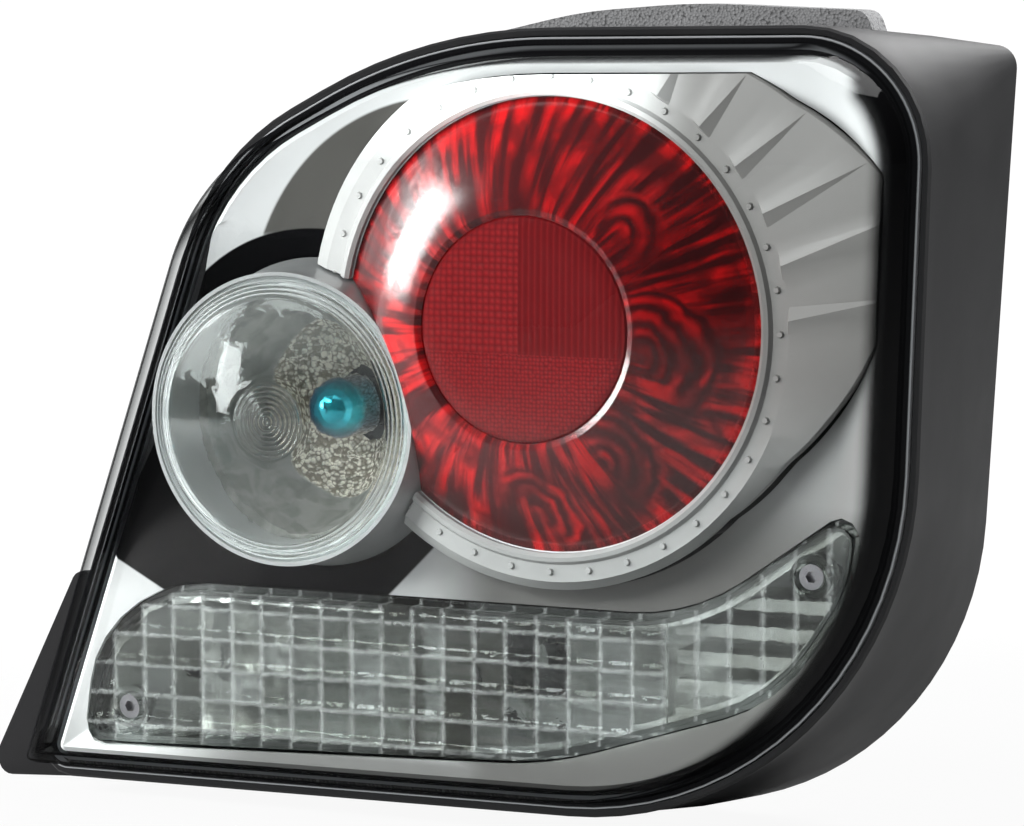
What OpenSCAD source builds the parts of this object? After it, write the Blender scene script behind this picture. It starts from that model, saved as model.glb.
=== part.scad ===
// Tail light cluster for the right-hand side of a car, millimetres.
// The lens faces -Y, +X is to the right seen from behind the car, +Z is up.
// The rear face of the foam gasket, which seats on the body, lies in the plane Y = 0.
// Depths below are counted from the rear wall of the housing, one gasket thickness ahead of it.

/* [Housing] */
// Depth from the rear wall to the ledge that carries the trim
ledge_depth = 62; // [58:0.5:66]
// Wall of the housing
housing_wall = 2.5; // [2:0.1:3.2]
// How far the housing stands out past the edge of the lens
rim_out = 3; // [2.4:0.1:3.4]
// Width of the channel that the lens is bonded into
channel_w = 4; // [3.6:0.1:4.4]
// Depth of that channel
channel_depth = 7.5; // [6:0.1:8.5]

/* [Outer lens] */
// Wall of the clear lens
lens_wall = 2.5; // [2:0.1:3]
// Height of the lens side wall and shoulder ahead of the seam
lens_height = 36; // [35:0.5:42]
// Extra height of the lens at the middle of its face
lens_crown = 5; // [3:0.5:8]
// Radius of the large lower corner
lower_corner_r = 115; // [105:1:120]
// Radius of the upper outer corner
upper_corner_r = 38; // [30:1:44]

/* [Tail and stop lamp] */
// Place of its axis across the lamp
tail_x = 13; // [11:0.5:15]
// Height of its axis
tail_z = 28; // [26:0.5:30]
// Radius of the red lens
tail_r = 71; // [68:0.5:72]
// Height of the red dome ahead of its rim
tail_dome = 22; // [18:0.5:24]
// Wall of the red lens
tail_wall = 2.5; // [2:0.1:3]
// Radius of the reflex disc
disc_r = 35; // [32:0.5:37]
// Thickness of the reflex disc
disc_t = 3; // [2:0.1:4]
// Number of flutes in the reflector bowl
tail_flutes = 24; // [16:1:30]
// Depth of each flute
flute_depth = 1.6; // [0.8:0.1:2]
// Number of beads round the surround
bead_count = 36; // [24:1:48]
// Radius of a bead
bead_r = 1.7; // [1.2:0.1:2]

/* [Indicator lamp] */
// Gap from its tube to the slanted edge of the outer lens
ind_side_gap = 7.6; // [6.8:0.1:8.2]
// Gap from its tube to the upper edge of the reverse lamp
ind_low_gap = 9.8; // [9:0.1:10.6]
// Radius of the clear cap
ind_r = 45.5; // [43.5:0.5:46]
// Height of the clear cap ahead of its rim
ind_dome = 8; // [6:0.5:9]
// Wall of the tube round the lamp
tube_wall = 1.5; // [1.2:0.1:1.8]
// How far the tube flares out at its foot
tube_flare = 3; // [2:0.5:3.5]
// How much further ahead its bulb stands than the other bulbs
ind_bulb_lift = 14; // [8:0.5:16]
// Number of rings in the middle of the cap
ring_count = 8; // [5:1:9]
// Pitch of those rings
ring_pitch = 1.6; // [1.2:0.1:2]

/* [Reverse lamp] */
// Thickness of the lens plate behind its pillows
rev_plate = 3; // [2.5:0.1:4]
// Width of one pillow
pillow_w = 11; // [8:0.5:14]
// Height of one pillow
pillow_h = 10; // [8:0.5:14]
// Rise of a pillow
pillow_rise = 1.2; // [0.8:0.1:1.6]
// Number of stepped bars in the reflector
bar_count = 5; // [3:1:6]
// Pitch of those bars
bar_pitch = 9; // [7:0.5:10]

/* [Bulbs and holders] */
// Radius of the bulb glass
bulb_r = 10; // [9:0.5:11]
// Length of the bulb glass
bulb_len = 33; // [28:0.5:36]
// Radius of the holder's barrel
barrel_r = 15; // [14:0.5:16]
// Radial clearance of the barrel in the housing
barrel_gap = 0.5; // [0.3:0.1:0.8]
// How far the holder's flange stands out past its barrel
flange_out = 5; // [4:0.5:7]
// Thickness of the rubber seal under that flange
seal_t = 2; // [1.5:0.1:3]
// Inner width of the connector inlet
inlet_w = 17; // [14:0.5:18]
// Inner height of the connector inlet
inlet_h = 9; // [7:0.5:10]
// Depth of the connector inlet
inlet_depth = 13; // [10:0.5:16]
// Wall of the connector inlet
inlet_wall = 1.5; // [1.2:0.1:2]
// Length of the terminal blades in the inlet
blade_len = 7; // [5:0.5:8]

/* [Fixings] */
// Radius of a mounting stud
stud_r = 3; // [2.5:0.1:4]
// Length of a stud behind the rear wall
stud_len = 22; // [16:1:30]
// Radius of the locating pin
pin_r = 4; // [3:0.1:5]
// Length of the locating pin
pin_len = 12; // [8:1:16]
// Radius of the posts that carry the inner parts
post_r = 4; // [3.5:0.1:5]
// Radius of the head of a lens screw
screw_head_r = 4; // [3.5:0.1:4.5]

/* [Hidden] */
$fn = 96;

// Fits and small sizes
seat_gap = 0.4;
eps = 0.01;
pad = 1;

// Depths of the main planes, ahead of the rear wall as negative Y
y_ledge = -ledge_depth;
inner_wall_h = 7;
y_channel = y_ledge - 2;
y_rim = y_channel - channel_depth;
sealant_t = 2.5;
y_leg = y_channel - sealant_t;
y_seam = y_rim;
y_tail_flange = y_seam - 5;
flange_t = 2;
y_tail_rim = y_tail_flange - flange_t;
y_ind_flange = y_seam + 6;
y_ind_rim = y_seam - 20;
y_rev_flange = y_seam + 5;
y_trim_floor = y_ledge - 5;
flange_r = barrel_r + flange_out;

// Centres of the three lamps, seen along Y
TAIL = [tail_x, tail_z];
REV = [-16, -89];
MIDDLE = [4, 2];

// Corner points of the lens edge, each with its radius, anticlockwise seen from the front
LENS_EDGE = [
    [-179.5, -127.5, 8], [125.5, -124, lower_corner_r], [133.6, 119, upper_corner_r],
    [-33.4, 116.3, 175], [-109.8, 76, 80],
];
// The same corners where the housing meets its rear wall
REAR_EDGE = [
    [-158, -126, 14], [123, -138, 104], [138, 114.5, 7], [-28, 112, 165], [-98, 73, 72],
];
EDGE_STEPS = [4, 20, 8, 8, 8];

// Edge of the reverse lamp's lens
REVERSE_EDGE = [
    [-159.5, -116.3, 5], [8, -110.5, 120], [87, -85.5, 60], [110.5, -50, 40],
    [114.5, -24, 5.5], [56.4, -64.2, 70], [-151, -64.4, 40],
];
REVERSE_STEPS = [3, 4, 4, 4, 4, 5, 7];
// Edge of the floor of the bowl behind it, corner for corner
REVERSE_FLOOR = [
    [-140, -108, 6], [8, -105, 60], [62, -92, 30], [88, -74, 12],
    [92, -60, 4], [50, -69, 40], [-132, -72, 20],
];

// Tab on the inner lower corner of the housing, with its depth
TAB_EDGE = [[-172, -134, 3], [-207, -136, 5], [-209.5, -129, 5], [-177, -64, 4], [-160, -66, 1]];
TAB_STEPS = [2, 4, 4, 3, 1];

// How far the surround flares past the red lens, by angle round the tail lamp's axis
FLARE = [
    [-180, 15], [-90, 12.5], [-45, 11.5], [-28, 16], [-16, 24], [-3, 34], [8, 45], [18, 52],
    [30, 43], [42, 34.5], [60, 27], [82, 19], [100, 15], [180, 15],
];

// Plane geometry
function unit(v) = v / norm(v);
function xz(p) = [p.x, p.y];
function wrap(a) = a > 180 ? a - 360 : a < -180 ? a + 360 : a;
function inward(a, b) = let (d = unit(b - a)) [-d.y, d.x];
function bend(a, b, c) = (b.x - a.x) * (c.y - b.y) - (b.y - a.y) * (c.x - b.x);
function polar(r, a) = r * [cos(a), sin(a)];

// Corner points moved inward by d, each radius kept concentric
function inset(path, d) = [
    for (i = [0:len(path) - 1])
        let (
            n = len(path),
            p = xz(path[(i + n - 1) % n]),
            c = xz(path[i]),
            q = xz(path[(i + 1) % n]),
            a = inward(p, c),
            b = inward(c, q),
            v = c + d * (a + b) / (1 + a * b)
        )
        [v.x, v.y, max(0.5, path[i][2] - d * sign(bend(p, c, q)))]
];

// One rounded corner as an arc of n steps
function corner(p, c, q, r, n) = let (
        u = unit(p - c),
        v = unit(q - c),
        half = acos(u * v) / 2,
        centre = c + unit(u + v) * r / sin(half),
        from = c + u * r / tan(half) - centre,
        to = c + v * r / tan(half) - centre,
        start = atan2(from.y, from.x),
        sweep = wrap(atan2(to.y, to.x) - start)
    )
    [for (k = [0:n]) centre + polar(r, start + sweep * k / n)];

// The whole outline of a list of corners, moved inward by d
function outline(path, steps, d = 0) = let (e = inset(path, d), n = len(path)) [
    for (i = [0:n - 1])
        each corner(xz(e[(i + n - 1) % n]), xz(e[i]), xz(e[(i + 1) % n]), e[i][2], steps[i])
];
function lens_line(d) = outline(LENS_EDGE, EDGE_STEPS, d);
function rear_line(d) = outline(REAR_EDGE, EDGE_STEPS, d);
function body_line(t, d) = (1 - t) * rear_line(d) + t * lens_line(d);
function toward(pts, c, k) = [for (p = pts) c + (p - c) * k];
function ring(pts, y) = [for (p = pts) [p.x, y, p.y]];

// Where two lines cross, each moved inward by its own distance
function crossing(a, b, d, p, q, e) = let (
        m = inward(a, b),
        n = inward(p, q),
        u = m * a + d,
        v = n * p + e
    )
    [u * n.y - v * m.y, v * m.x - u * n.x] / (m.x * n.y - m.y * n.x);

// The small lamp stands clear of the slanted edge and of the reverse lamp's upper edge
ind_reach = ind_r + tube_wall + tube_flare;
IND = crossing(
    xz(LENS_EDGE[4]), xz(LENS_EDGE[0]), ind_reach + ind_side_gap,
    xz(REVERSE_EDGE[6]), xz(REVERSE_EDGE[5]), ind_reach + ind_low_gap
);
LAMPS = [TAIL, IND, REV];

// Faces of a shell that runs from a centre point over rings to another centre point
function shell_faces(m, n) = [
    for (j = [0:n - 1]) [m * n, j, (j + 1) % n],
    for (i = [0:m - 2], j = [0:n - 1])
        let (k = (j + 1) % n, a = i * n, b = a + n)
        each [[a + j, b + k, a + k], [a + j, b + j, b + k]],
    for (j = [0:n - 1]) [m * n + 1, (m - 1) * n + (j + 1) % n, (m - 1) * n + j],
];

// Faces of a closed tube of m sections with n points each
function loop_faces(m, n) = [
    for (i = [0:m - 1], j = [0:n - 1])
        let (k = (j + 1) % n, a = i * n, b = ((i + 1) % m) * n)
        each [[a + j, b + k, a + k], [a + j, b + j, b + k]],
];
function turned(faces) = [for (f = faces) [f[0], f[2], f[1]]];

module shell(rings, first, last, rear_first = true) {
    m = len(rings);
    n = len(rings[0]);
    faces = shell_faces(m, n);
    polyhedron(concat([for (r = rings) each r], [first, last]), rear_first ? faces : turned(faces));
}

// A flat shape drawn in X and Z, as thick as from y0 to y1
module along_y(y0, y1) {
    translate([0, y1, 0]) rotate([90, 0, 0]) linear_extrude(y1 - y0) children();
}

// A shape that stands ahead of the plane y on the axis through c
module ahead(c, y) {
    translate([c.x, y, c.y]) rotate([90, 0, 0]) children();
}

// A shape that stands behind the plane y on the axis through c
module behind(c, y) {
    translate([c.x, y, c.y]) rotate([-90, 0, 0]) children();
}

module turned_profile(c, y, points) {
    ahead(c, y) rotate_extrude() polygon(points);
}

// Housing

// Where the posts for the inner parts stand
TAIL_POSTS = [for (a = [50, 135, 290]) TAIL + polar(tail_r + 2, a)];
IND_POSTS = [for (a = [115, 235]) IND + polar(ind_r + 1.5, a)];
REV_POSTS = [[-110, -61.2], [30, -61]];
STUDS = [[-76, 56], [104, 84], [70, -104]];
PIN_AT = [-118, -104];
VENT_AT = [64, -38];
vent_r = 7;
shank_r = stud_r + 0.6;
boss_h = 6;
lug_count = 3;
lug_w = 9;
lug_out = 3;
lug_turn = 35;
y_mid = -30;
mid_to_top = 25;
tab_y = -48;
tab_t = 4;

// Outer skin of the housing, from the rear wall to the rim
function housing_skin() = [
    ring(rear_line(2), 0),
    ring(rear_line(0), -2.5),
    ring(body_line(0.42, -2), y_mid),
    ring(body_line(0.86, -3), y_mid - mid_to_top),
    ring(lens_line(-rim_out), y_rim + 8),
    ring(lens_line(-rim_out), y_rim + 0.8),
    ring(lens_line(-rim_out + 0.8), y_rim),
];

function housing_inside() = let (slot_in = channel_w - 0.5) [
    ring(lens_line(-0.5), y_rim),
    ring(lens_line(-0.5), y_channel),
    ring(lens_line(slot_in), y_channel),
    ring(lens_line(slot_in), y_ledge - inner_wall_h),
    ring(lens_line(slot_in + 2), y_ledge - inner_wall_h),
    ring(lens_line(slot_in + 2), y_ledge),
    ring(lens_line(slot_in + 5), y_ledge),
    ring(body_line(0.86, housing_wall + 3), y_mid - mid_to_top + 3),
    ring(body_line(0.42, housing_wall - 1), y_mid),
    ring(rear_line(housing_wall), -housing_wall - 3),
    ring(rear_line(housing_wall + 2), -housing_wall - 1),
];

module housing_shell() {
    skin = housing_skin();
    inside = housing_inside();
    shell(concat(skin, inside), [MIDDLE.x, 0, MIDDLE.y], [MIDDLE.x, -housing_wall - 1, MIDDLE.y]);
}

// The bayonet opening for one holder
module holder_opening(c) {
    ahead(c, pad) cylinder(r = barrel_r + barrel_gap, h = 12);
    for (k = [0:lug_count - 1])
        translate([c.x, 0, c.y])
            rotate([0, k * 360 / lug_count, 0])
                translate([-lug_w / 2 - barrel_gap, -10, 0])
                    cube([lug_w + 2 * barrel_gap, 10 + pad, barrel_r + lug_out + barrel_gap]);
}

module post(c, y) {
    ahead(c, -housing_wall) cylinder(r = post_r, h = -y - housing_wall);
}

module housing() {
    color("#161617") {
        difference() {
            union() {
                housing_shell();
                along_y(tab_y - tab_t, tab_y) polygon(outline(TAB_EDGE, TAB_STEPS));
                for (p = TAIL_POSTS) post(p, y_tail_flange);
                for (p = IND_POSTS) post(p, y_ind_flange + flange_t);
                for (p = REV_POSTS) post(p, y_rev_flange + flange_t);
                behind(PIN_AT, -1) cylinder(r = pin_r, h = pin_len + 1);
            }
            for (c = LAMPS) holder_opening(c);
            for (p = STUDS) ahead(p, pad) cylinder(r = shank_r, h = 12);
            ahead(VENT_AT, pad) cylinder(r = vent_r / 2, h = 12);
        }
        for (p = STUDS) stud_pocket(p);
    }
}

// Boss inside the rear wall that grips one stud's head
module stud_pocket(c) {
    difference() {
        ahead(c, -housing_wall) cylinder(r = stud_r + 4, h = boss_h);
        ahead(c, pad) cylinder(r = shank_r, h = 12);
    }
}

module mounting_studs() {
    color("#c9ccd0")
        for (p = STUDS) {
            behind(p, 0) cylinder(r = stud_r, h = stud_len);
            ahead(p, 0) cylinder(r = shank_r, h = housing_wall + boss_h);
            ahead(p, -housing_wall - boss_h) cylinder(r = stud_r + 2.5, h = 3, $fn = 6);
        }
}

// Outer lens

function lens_skin() = let (h = lens_height, y = y_seam) [
    for (k = [0.35, 0.7]) ring(toward(lens_line(21), MIDDLE, k), y - h - lens_crown * (1 - k * k)),
    ring(lens_line(21), y - h),
    ring(lens_line(13), y - h + 3.2),
    ring(lens_line(8), y - h + 8),
    ring(lens_line(5), y - h + 15),
    ring(lens_line(3), y - 8),
    ring(lens_line(2), y - 2.2),
    ring(lens_line(0), y - 1.4),
    ring(lens_line(0), y_leg),
];

function lens_inside() = let (h = lens_height - lens_wall, w = lens_wall, y = y_seam) [
    ring(lens_line(w), y_leg),
    ring(lens_line(w), y + 1),
    ring(lens_line(2 + w), y - 2),
    ring(lens_line(3 + w), y - 8),
    ring(lens_line(5 + w), y - h + 13),
    ring(lens_line(8 + w), y - h + 7),
    ring(lens_line(13 + w), y - h + 2.6),
    ring(lens_line(21 + w), y - h),
    for (k = [0.7, 0.35]) ring(toward(lens_line(21 + w), MIDDLE, k), y - h - lens_crown * (1 - k * k)),
];

module outer_lens() {
    tip = y_seam - lens_height - lens_crown;
    color("#e9eef2", 0.35)
        shell(
            concat(lens_skin(), lens_inside()),
            [MIDDLE.x, tip, MIDDLE.y],
            [MIDDLE.x, tip + lens_wall, MIDDLE.y],
            rear_first = false
        );
}

module lens_sealant() {
    inner = channel_w - 0.5;
    sections = [
        ring(lens_line(-0.5), y_channel), ring(lens_line(inner), y_channel),
        ring(lens_line(inner), y_leg), ring(lens_line(-0.5), y_leg),
    ];
    n = len(sections[0]);
    color("#0c0c0d") polyhedron([for (s = sections) each s], turned(loop_faces(4, n)));
}

// Trim bezel

trim_t = 2;
trim_out = channel_w + 2;
trim_slope_top = 24;
trim_slope_foot = 46;
recess_r = 68;
recess_h = 10;
recess_foot = 2.5;
recess_wall = 3;
clear_cut = 20;

function trim_skin(t) = [
    ring(lens_line(trim_slope_foot), y_trim_floor + t),
    ring(lens_line(trim_slope_top - t / 2), y_trim_floor - 2 + t),
    ring(lens_line(trim_out + 4 - t / 4), y_seam - 2.5 + t),
    ring(lens_line(trim_out + 1.6 + t / 8), y_seam - 3.6 + t),
];

// Space of the recess round the small lamp, wider by t
module recess_space(t) {
    turned_profile(IND, y_ledge - recess_foot, [
        [0, 0], [ind_reach + t, 0], [recess_r + t, recess_h],
        [recess_r + t, recess_h + clear_cut], [0, recess_h + clear_cut],
    ]);
}

module trim_bezel() {
    front = trim_skin(0);
    back = trim_skin(trim_t);
    edge = [ring(lens_line(trim_out), y_seam - 2.4), ring(lens_line(trim_out), y_ledge)];
    inner_edge = lens_line(trim_out + trim_t);
    color("#8f9193")
        difference() {
            shell(
                concat(front, edge),
                [MIDDLE.x, y_trim_floor, MIDDLE.y],
                [MIDDLE.x, y_ledge, MIDDLE.y],
                rear_first = false
            );
            difference() {
                shell(
                    concat(back, [ring(inner_edge, y_ledge), ring(inner_edge, y_ledge + pad)]),
                    [MIDDLE.x, y_trim_floor + trim_t, MIDDLE.y],
                    [MIDDLE.x, y_ledge + pad, MIDDLE.y],
                    rear_first = false
                );
                recess_space(recess_wall);
            }
            recess_space(0);
            along_y(-110, -30)
                intersection() {
                    polygon(flare_line(-seat_gap));
                    polygon(lens_line(trim_out + 5));
                }
            along_y(-110, -30) translate(IND) circle(r = ind_reach + seat_gap);
            along_y(-110, -30) polygon(outline(REVERSE_EDGE, REVERSE_STEPS, -rev_lip - seat_gap));
        }
}

// Tail and stop lamp

flare_steps = 120;
rib_from = -24;
rib_to = 72;
rib_pitch = 12;
rib_rise = 1.6;
lip_r = tail_r + 3;
bead_ring_r = tail_r + 6.3;

// How much of a rib stands at an angle, from 0 at its foot to 1 at its crest, with a plain field beside it
function rib(a) = a < rib_from || a > rib_to ? 0 : let (s = (a - rib_from) / rib_pitch, f = s - floor(s))
    max(0, 1 - abs(4 * f - 1));
function flare_r(a) = tail_r + lookup(wrap(a), FLARE);
function flare_line(d) = [for (i = [0:flare_steps - 1]) let (a = i * 360 / flare_steps) TAIL + polar(flare_r(a) - d, a)];

// Section of the surround at an angle, as radius and depth
function surround_section(a) = let (r = flare_r(a), y = y_tail_rim, reach = r - tail_r - 11) [
    [tail_r + 0.4, y_tail_flange - flange_t],
    [tail_r + 0.4, y - 2],
    [tail_r + 1.6, y - 3],
    [lip_r, y - 2.6],
    [lip_r + 1, y - 1.2],
    [tail_r + 8.5, y - 0.8],
    [tail_r + 9.5, y - 0.8 - rib_rise * rib(a) * min(1, reach / 10)],
    [r - 0.6, y + 2 + min(3, reach / 9)],
    [r, y + 2.8 + min(3, reach / 9)],
    [r, y + 5.5 + min(3, reach / 9)],
    [tail_r + 9.5, y + 2.6],
    [tail_r + 6 + seat_gap, y + 2],
    [tail_r + 6 + seat_gap, y],
];

notch_front = 30;
notch_rear = 40;

module indicator_notch() {
    ahead(IND, y_ind_flange + 3) {
        cylinder(
            r1 = ind_reach + seat_gap,
            r2 = ind_r + tube_wall + seat_gap,
            h = y_ind_flange + 3 - y_ind_rim
        );
    }
    ahead(IND, y_ind_rim + eps) cylinder(r = ind_r + tube_wall + seat_gap, h = notch_front);
    ahead(IND, y_ind_flange + notch_rear) cylinder(r = ind_reach + seat_gap, h = notch_rear - 3 + eps);
}

module tail_surround() {
    sections = [
        for (i = [0:flare_steps - 1])
            let (a = i * 360 / flare_steps)
            [for (s = surround_section(a)) let (p = TAIL + polar(s.x, a)) [p.x, s.y, p.y]]
    ];
    color("#b9bbbd")
        difference() {
            intersection() {
                union() {
                    polyhedron(
                        [for (s = sections) each s],
                        loop_faces(flare_steps, len(sections[0]))
                    );
                    for (k = [0:bead_count - 1])
                        ahead(TAIL + polar(bead_ring_r, k * 360 / bead_count), y_tail_rim)
                            cylinder(r1 = bead_r, r2 = bead_r / 2, h = 1.8, $fn = 8);
                }
                along_y(-130, -30) polygon(lens_line(trim_out + 5 + seat_gap));
            }
            indicator_notch();
        }
}

// Height of the red dome at a radius, ahead of its rim
function dome(r, edge, centre, h) = let (t = (edge - r) / (edge - centre)) h * sin(90 * min(1, max(0, t)));
groove_w = 2.2;
dome_edge = tail_r;

function dome_points(off) = [
    for (k = [0:9])
        let (r = disc_r + groove_w + (dome_edge - disc_r - groove_w - off) * k / 9)
        [r, dome(r, dome_edge - off, disc_r - 4, tail_dome - off)]
];

module tail_lens() {
    outer = dome_points(0);
    inner = dome_points(tail_wall);
    floor_h = tail_dome - disc_t - 1.5;
    color("#a80f14", 0.85)
        difference() {
            turned_profile(TAIL, y_tail_rim, concat(
                [[0, floor_h], [disc_r + 0.2, floor_h], [disc_r + 0.2, tail_dome - 1.6]],
                outer,
                [[dome_edge, 0], [dome_edge - tail_wall, 0]],
                [for (i = [len(inner) - 1:-1:0]) inner[i]],
                [[disc_r, floor_h - tail_wall], [0, floor_h - tail_wall]]
            ));
            indicator_notch();
        }
}

module reflex_reflector() {
    h = tail_dome - disc_t - 1.5;
    color("#b3141a", 0.9)
        turned_profile(TAIL, y_tail_rim, [
            [0, h], [disc_r, h], [disc_r, h + disc_t - 0.6], [disc_r - 0.6, h + disc_t],
            [disc_r - 3, h + disc_t + 0.5], [0, h + disc_t + 0.9],
        ]);
}

tail_bowl_r = tail_r - 5;
neck_r = bulb_r + 3;
bowl_t = 1.6;
bowl_rings = 7;
y_tail_neck = -22;

// Radius of the bowl, by share of the way from neck to mouth
function bowl_r(t) = neck_r + (tail_bowl_r - neck_r) * sqrt(t);
function flute(a) = flute_depth * abs(sin(a * tail_flutes / 2));

function bowl_ring(t, out) = [
    for (i = [0:tail_flutes * 4 - 1])
        let (
            a = i * 90 / tail_flutes,
            r = bowl_r(t) + out - (t > 0.02 && t < 0.98 ? flute(a) : 0),
            p = TAIL + polar(r, a)
        )
        [p.x, y_tail_neck + t * (y_tail_flange - y_tail_neck) + (out > 0 ? bowl_t : 0), p.y]
];

module tail_reflector() {
    steps = [for (k = [0:bowl_rings]) k / bowl_rings];
    inner = [for (t = steps) bowl_ring(t, 0)];
    outer = [for (k = [bowl_rings:-1:0]) bowl_ring(steps[k], bowl_t)];
    sections = concat(inner, outer);
    color("#c8cacc")
        difference() {
            union() {
                polyhedron(
                    [for (s = sections) each s],
                    turned(loop_faces(len(sections), tail_flutes * 4))
                );
                turned_profile(TAIL, y_tail_flange, [
                    [tail_bowl_r - 0.3, -2.5], [tail_bowl_r + 2.4, -2.5], [tail_bowl_r + 2.4, 0],
                    [tail_r + 6, 0], [tail_r + 6, flange_t], [tail_bowl_r - 0.3, flange_t],
                ]);
            }
            indicator_notch();
        }
}

// Indicator lamp

module indicator_tube() {
    h = y_ind_flange - y_ind_rim;
    color("#a9abad")
        turned_profile(IND, y_ind_flange, [
            [ind_r - 1.5, 0], [ind_reach, 0], [ind_reach - 0.6, 2.5],
            [ind_r + tube_wall + tube_flare * 0.4, h * 0.4], [ind_r + tube_wall, h * 0.8],
            [ind_r + tube_wall, h], [ind_r + 0.3, h], [ind_r + 0.3, h - 4], [ind_r - 1.5, h - 4],
        ]);
}

nub_w = 3.5;
nub_h = 4;
nub_root = 0.7;

// Height of the clear cap at a radius
function cap_h(r) = ind_dome * (1 - pow(r / ind_r, 2)) + 2.5;

module indicator_lens() {
    field = ring_count * ring_pitch;
    color("#e8ecef", 0.4) {
        translate([IND.x + ind_r - nub_w - 2, y_ind_rim - nub_h, IND.y - nub_w])
            cube([nub_w, nub_h - nub_root, 2 * nub_w]);
        turned_profile(IND, y_ind_rim + 4, concat(
            [[0, cap_h(0) + 2.4]],
            [for (k = [1:ring_count])
                each [[k * ring_pitch - 0.3, cap_h(k * ring_pitch) + 2.9],
                    [k * ring_pitch, cap_h(k * ring_pitch) + 2.4]]],
            [for (k = [1:5]) let (r = field + (ind_r - 1.5 - field) * k / 5) [r, cap_h(r) + 2.4]],
            [[ind_r, 3.6], [ind_r, 0], [ind_r - 2.5, 0], [ind_r - 2.5, 2.4]],
            [for (k = [5:-1:0]) let (r = (ind_r - 4) * k / 5) [r, cap_h(r)]]
        ));
    }
}

ind_bowl_r = ind_r - 3;
y_ind_neck = -26;

module indicator_reflector() {
    h = y_ind_neck - y_ind_flange;
    steps = [for (k = [0:6]) k / 6];
    color("#c4c6c8")
        turned_profile(IND, y_ind_flange, concat(
            [for (t = steps) [ind_bowl_r - 1.5 - (ind_bowl_r - 1.5 - neck_r) * (1 - sqrt(1 - t)), -h * t]],
            [for (k = [6:-1:1]) let (t = steps[k])
                [ind_bowl_r - (ind_bowl_r - 1.5 - neck_r) * (1 - sqrt(1 - t)), -h * t]],
            [[ind_bowl_r + 0.5, -flange_t], [ind_reach - 1, -flange_t], [ind_reach - 1, 0]]
        ));
}

// Reverse lamp

rev_lip = 1.6;
rev_bowl_depth = 34;
bar_field = [46, 118];
pillow_from = -170;
pillow_low = -140;
pillow_cols = ceil((bar_field.x - pillow_from) / pillow_w);
pillow_end = pillow_from + pillow_cols * pillow_w;
plain_to = 140;
lens_set = 6;

function reverse_line(d) = outline(REVERSE_EDGE, REVERSE_STEPS, d);

// A row of shallow arches between two ends, standing on a base line
function arches(from, to, pitch, rise) = [
    for (x = [from:pitch:to], k = [0:3]) [x + pitch * k / 4, rise * sin(180 * k / 4)]
];

// Solid with the pillows' arches over its height, as wide as from x0 to x1
module pillow_rows(x0, x1) {
    translate([x0, y_rev_flange - lens_set, 0])
        rotate([90, 0, 90])
            linear_extrude(x1 - x0)
                polygon(concat(
                    [[clear_cut, pillow_low]],
                    [for (p = arches(pillow_low, 0, pillow_h, pillow_rise)) [p.y, p.x]],
                    [[clear_cut, 0]]
                ));
}

module reverse_lens() {
    screws = SCREWS;
    color("#e4e8ea", 0.5)
        difference() {
            union() {
                intersection() {
                    along_y(y_rev_flange - 16, y_rev_flange) polygon(reverse_line(0));
                    translate([0, y_rev_flange - lens_set - rev_plate, -200])
                        linear_extrude(220)
                            mirror([0, 1])
                                polygon(concat(
                                    [[pillow_from, -rev_plate - lens_set]],
                                    arches(pillow_from, pillow_end - pillow_w, pillow_w, pillow_rise),
                                    [[pillow_end, 0], [plain_to, 0], [plain_to, -rev_plate - lens_set]]
                                ));
                }
                along_y(y_rev_flange - flange_t, y_rev_flange)
                    polygon(reverse_line(-rev_lip));
            }
            intersection() {
                along_y(y_rev_flange - 12, y_rev_flange + pad) polygon(reverse_line(rev_lip));
                union() {
                    pillow_rows(-200, pillow_end);
                    along_y(y_rev_flange - lens_set, y_rev_flange + clear_cut)
                        translate([pillow_end - eps, -200]) square([200, 400]);
                }
                difference() {
                    along_y(y_rev_flange - 12, y_rev_flange + pad) square(400, center = true);
                    for (s = screws) ahead(s, y_rev_flange + pad) cylinder(r = screw_head_r + 3, h = 12);
                }
            }
            for (s = screws) {
                ahead(s, y_rev_flange + pad) cylinder(r = 2.1, h = 20);
                ahead(s, y_rev_flange - 4) cylinder(r = screw_head_r + 1, h = 20);
            }
        }
}

SCREWS = [[-143.5, -104.5], [98.5, -46.5]];

module reverse_lens_screws() {
    color("#8c8f92")
        for (s = SCREWS)
            difference() {
                union() {
                    ahead(s, y_rev_flange + 9) cylinder(r = 1.8, h = 14);
                    ahead(s, y_rev_flange - 4) cylinder(r = screw_head_r, h = 3);
                }
                ahead(s, y_rev_flange - 4.8) cylinder(r = 1.9, h = 4, $fn = 6);
            }
}

bar_t = 4.2;
bar_low = -97;

// Skin of the bowl, from its floor to its flange, thicker by t
function reverse_skin(t) = [
    ring(outline(REVERSE_FLOOR, REVERSE_STEPS, -t), y_rev_flange + rev_bowl_depth - bowl_t + t),
    ring(reverse_line(3.2 - t), y_rev_flange + flange_t),
];

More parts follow.
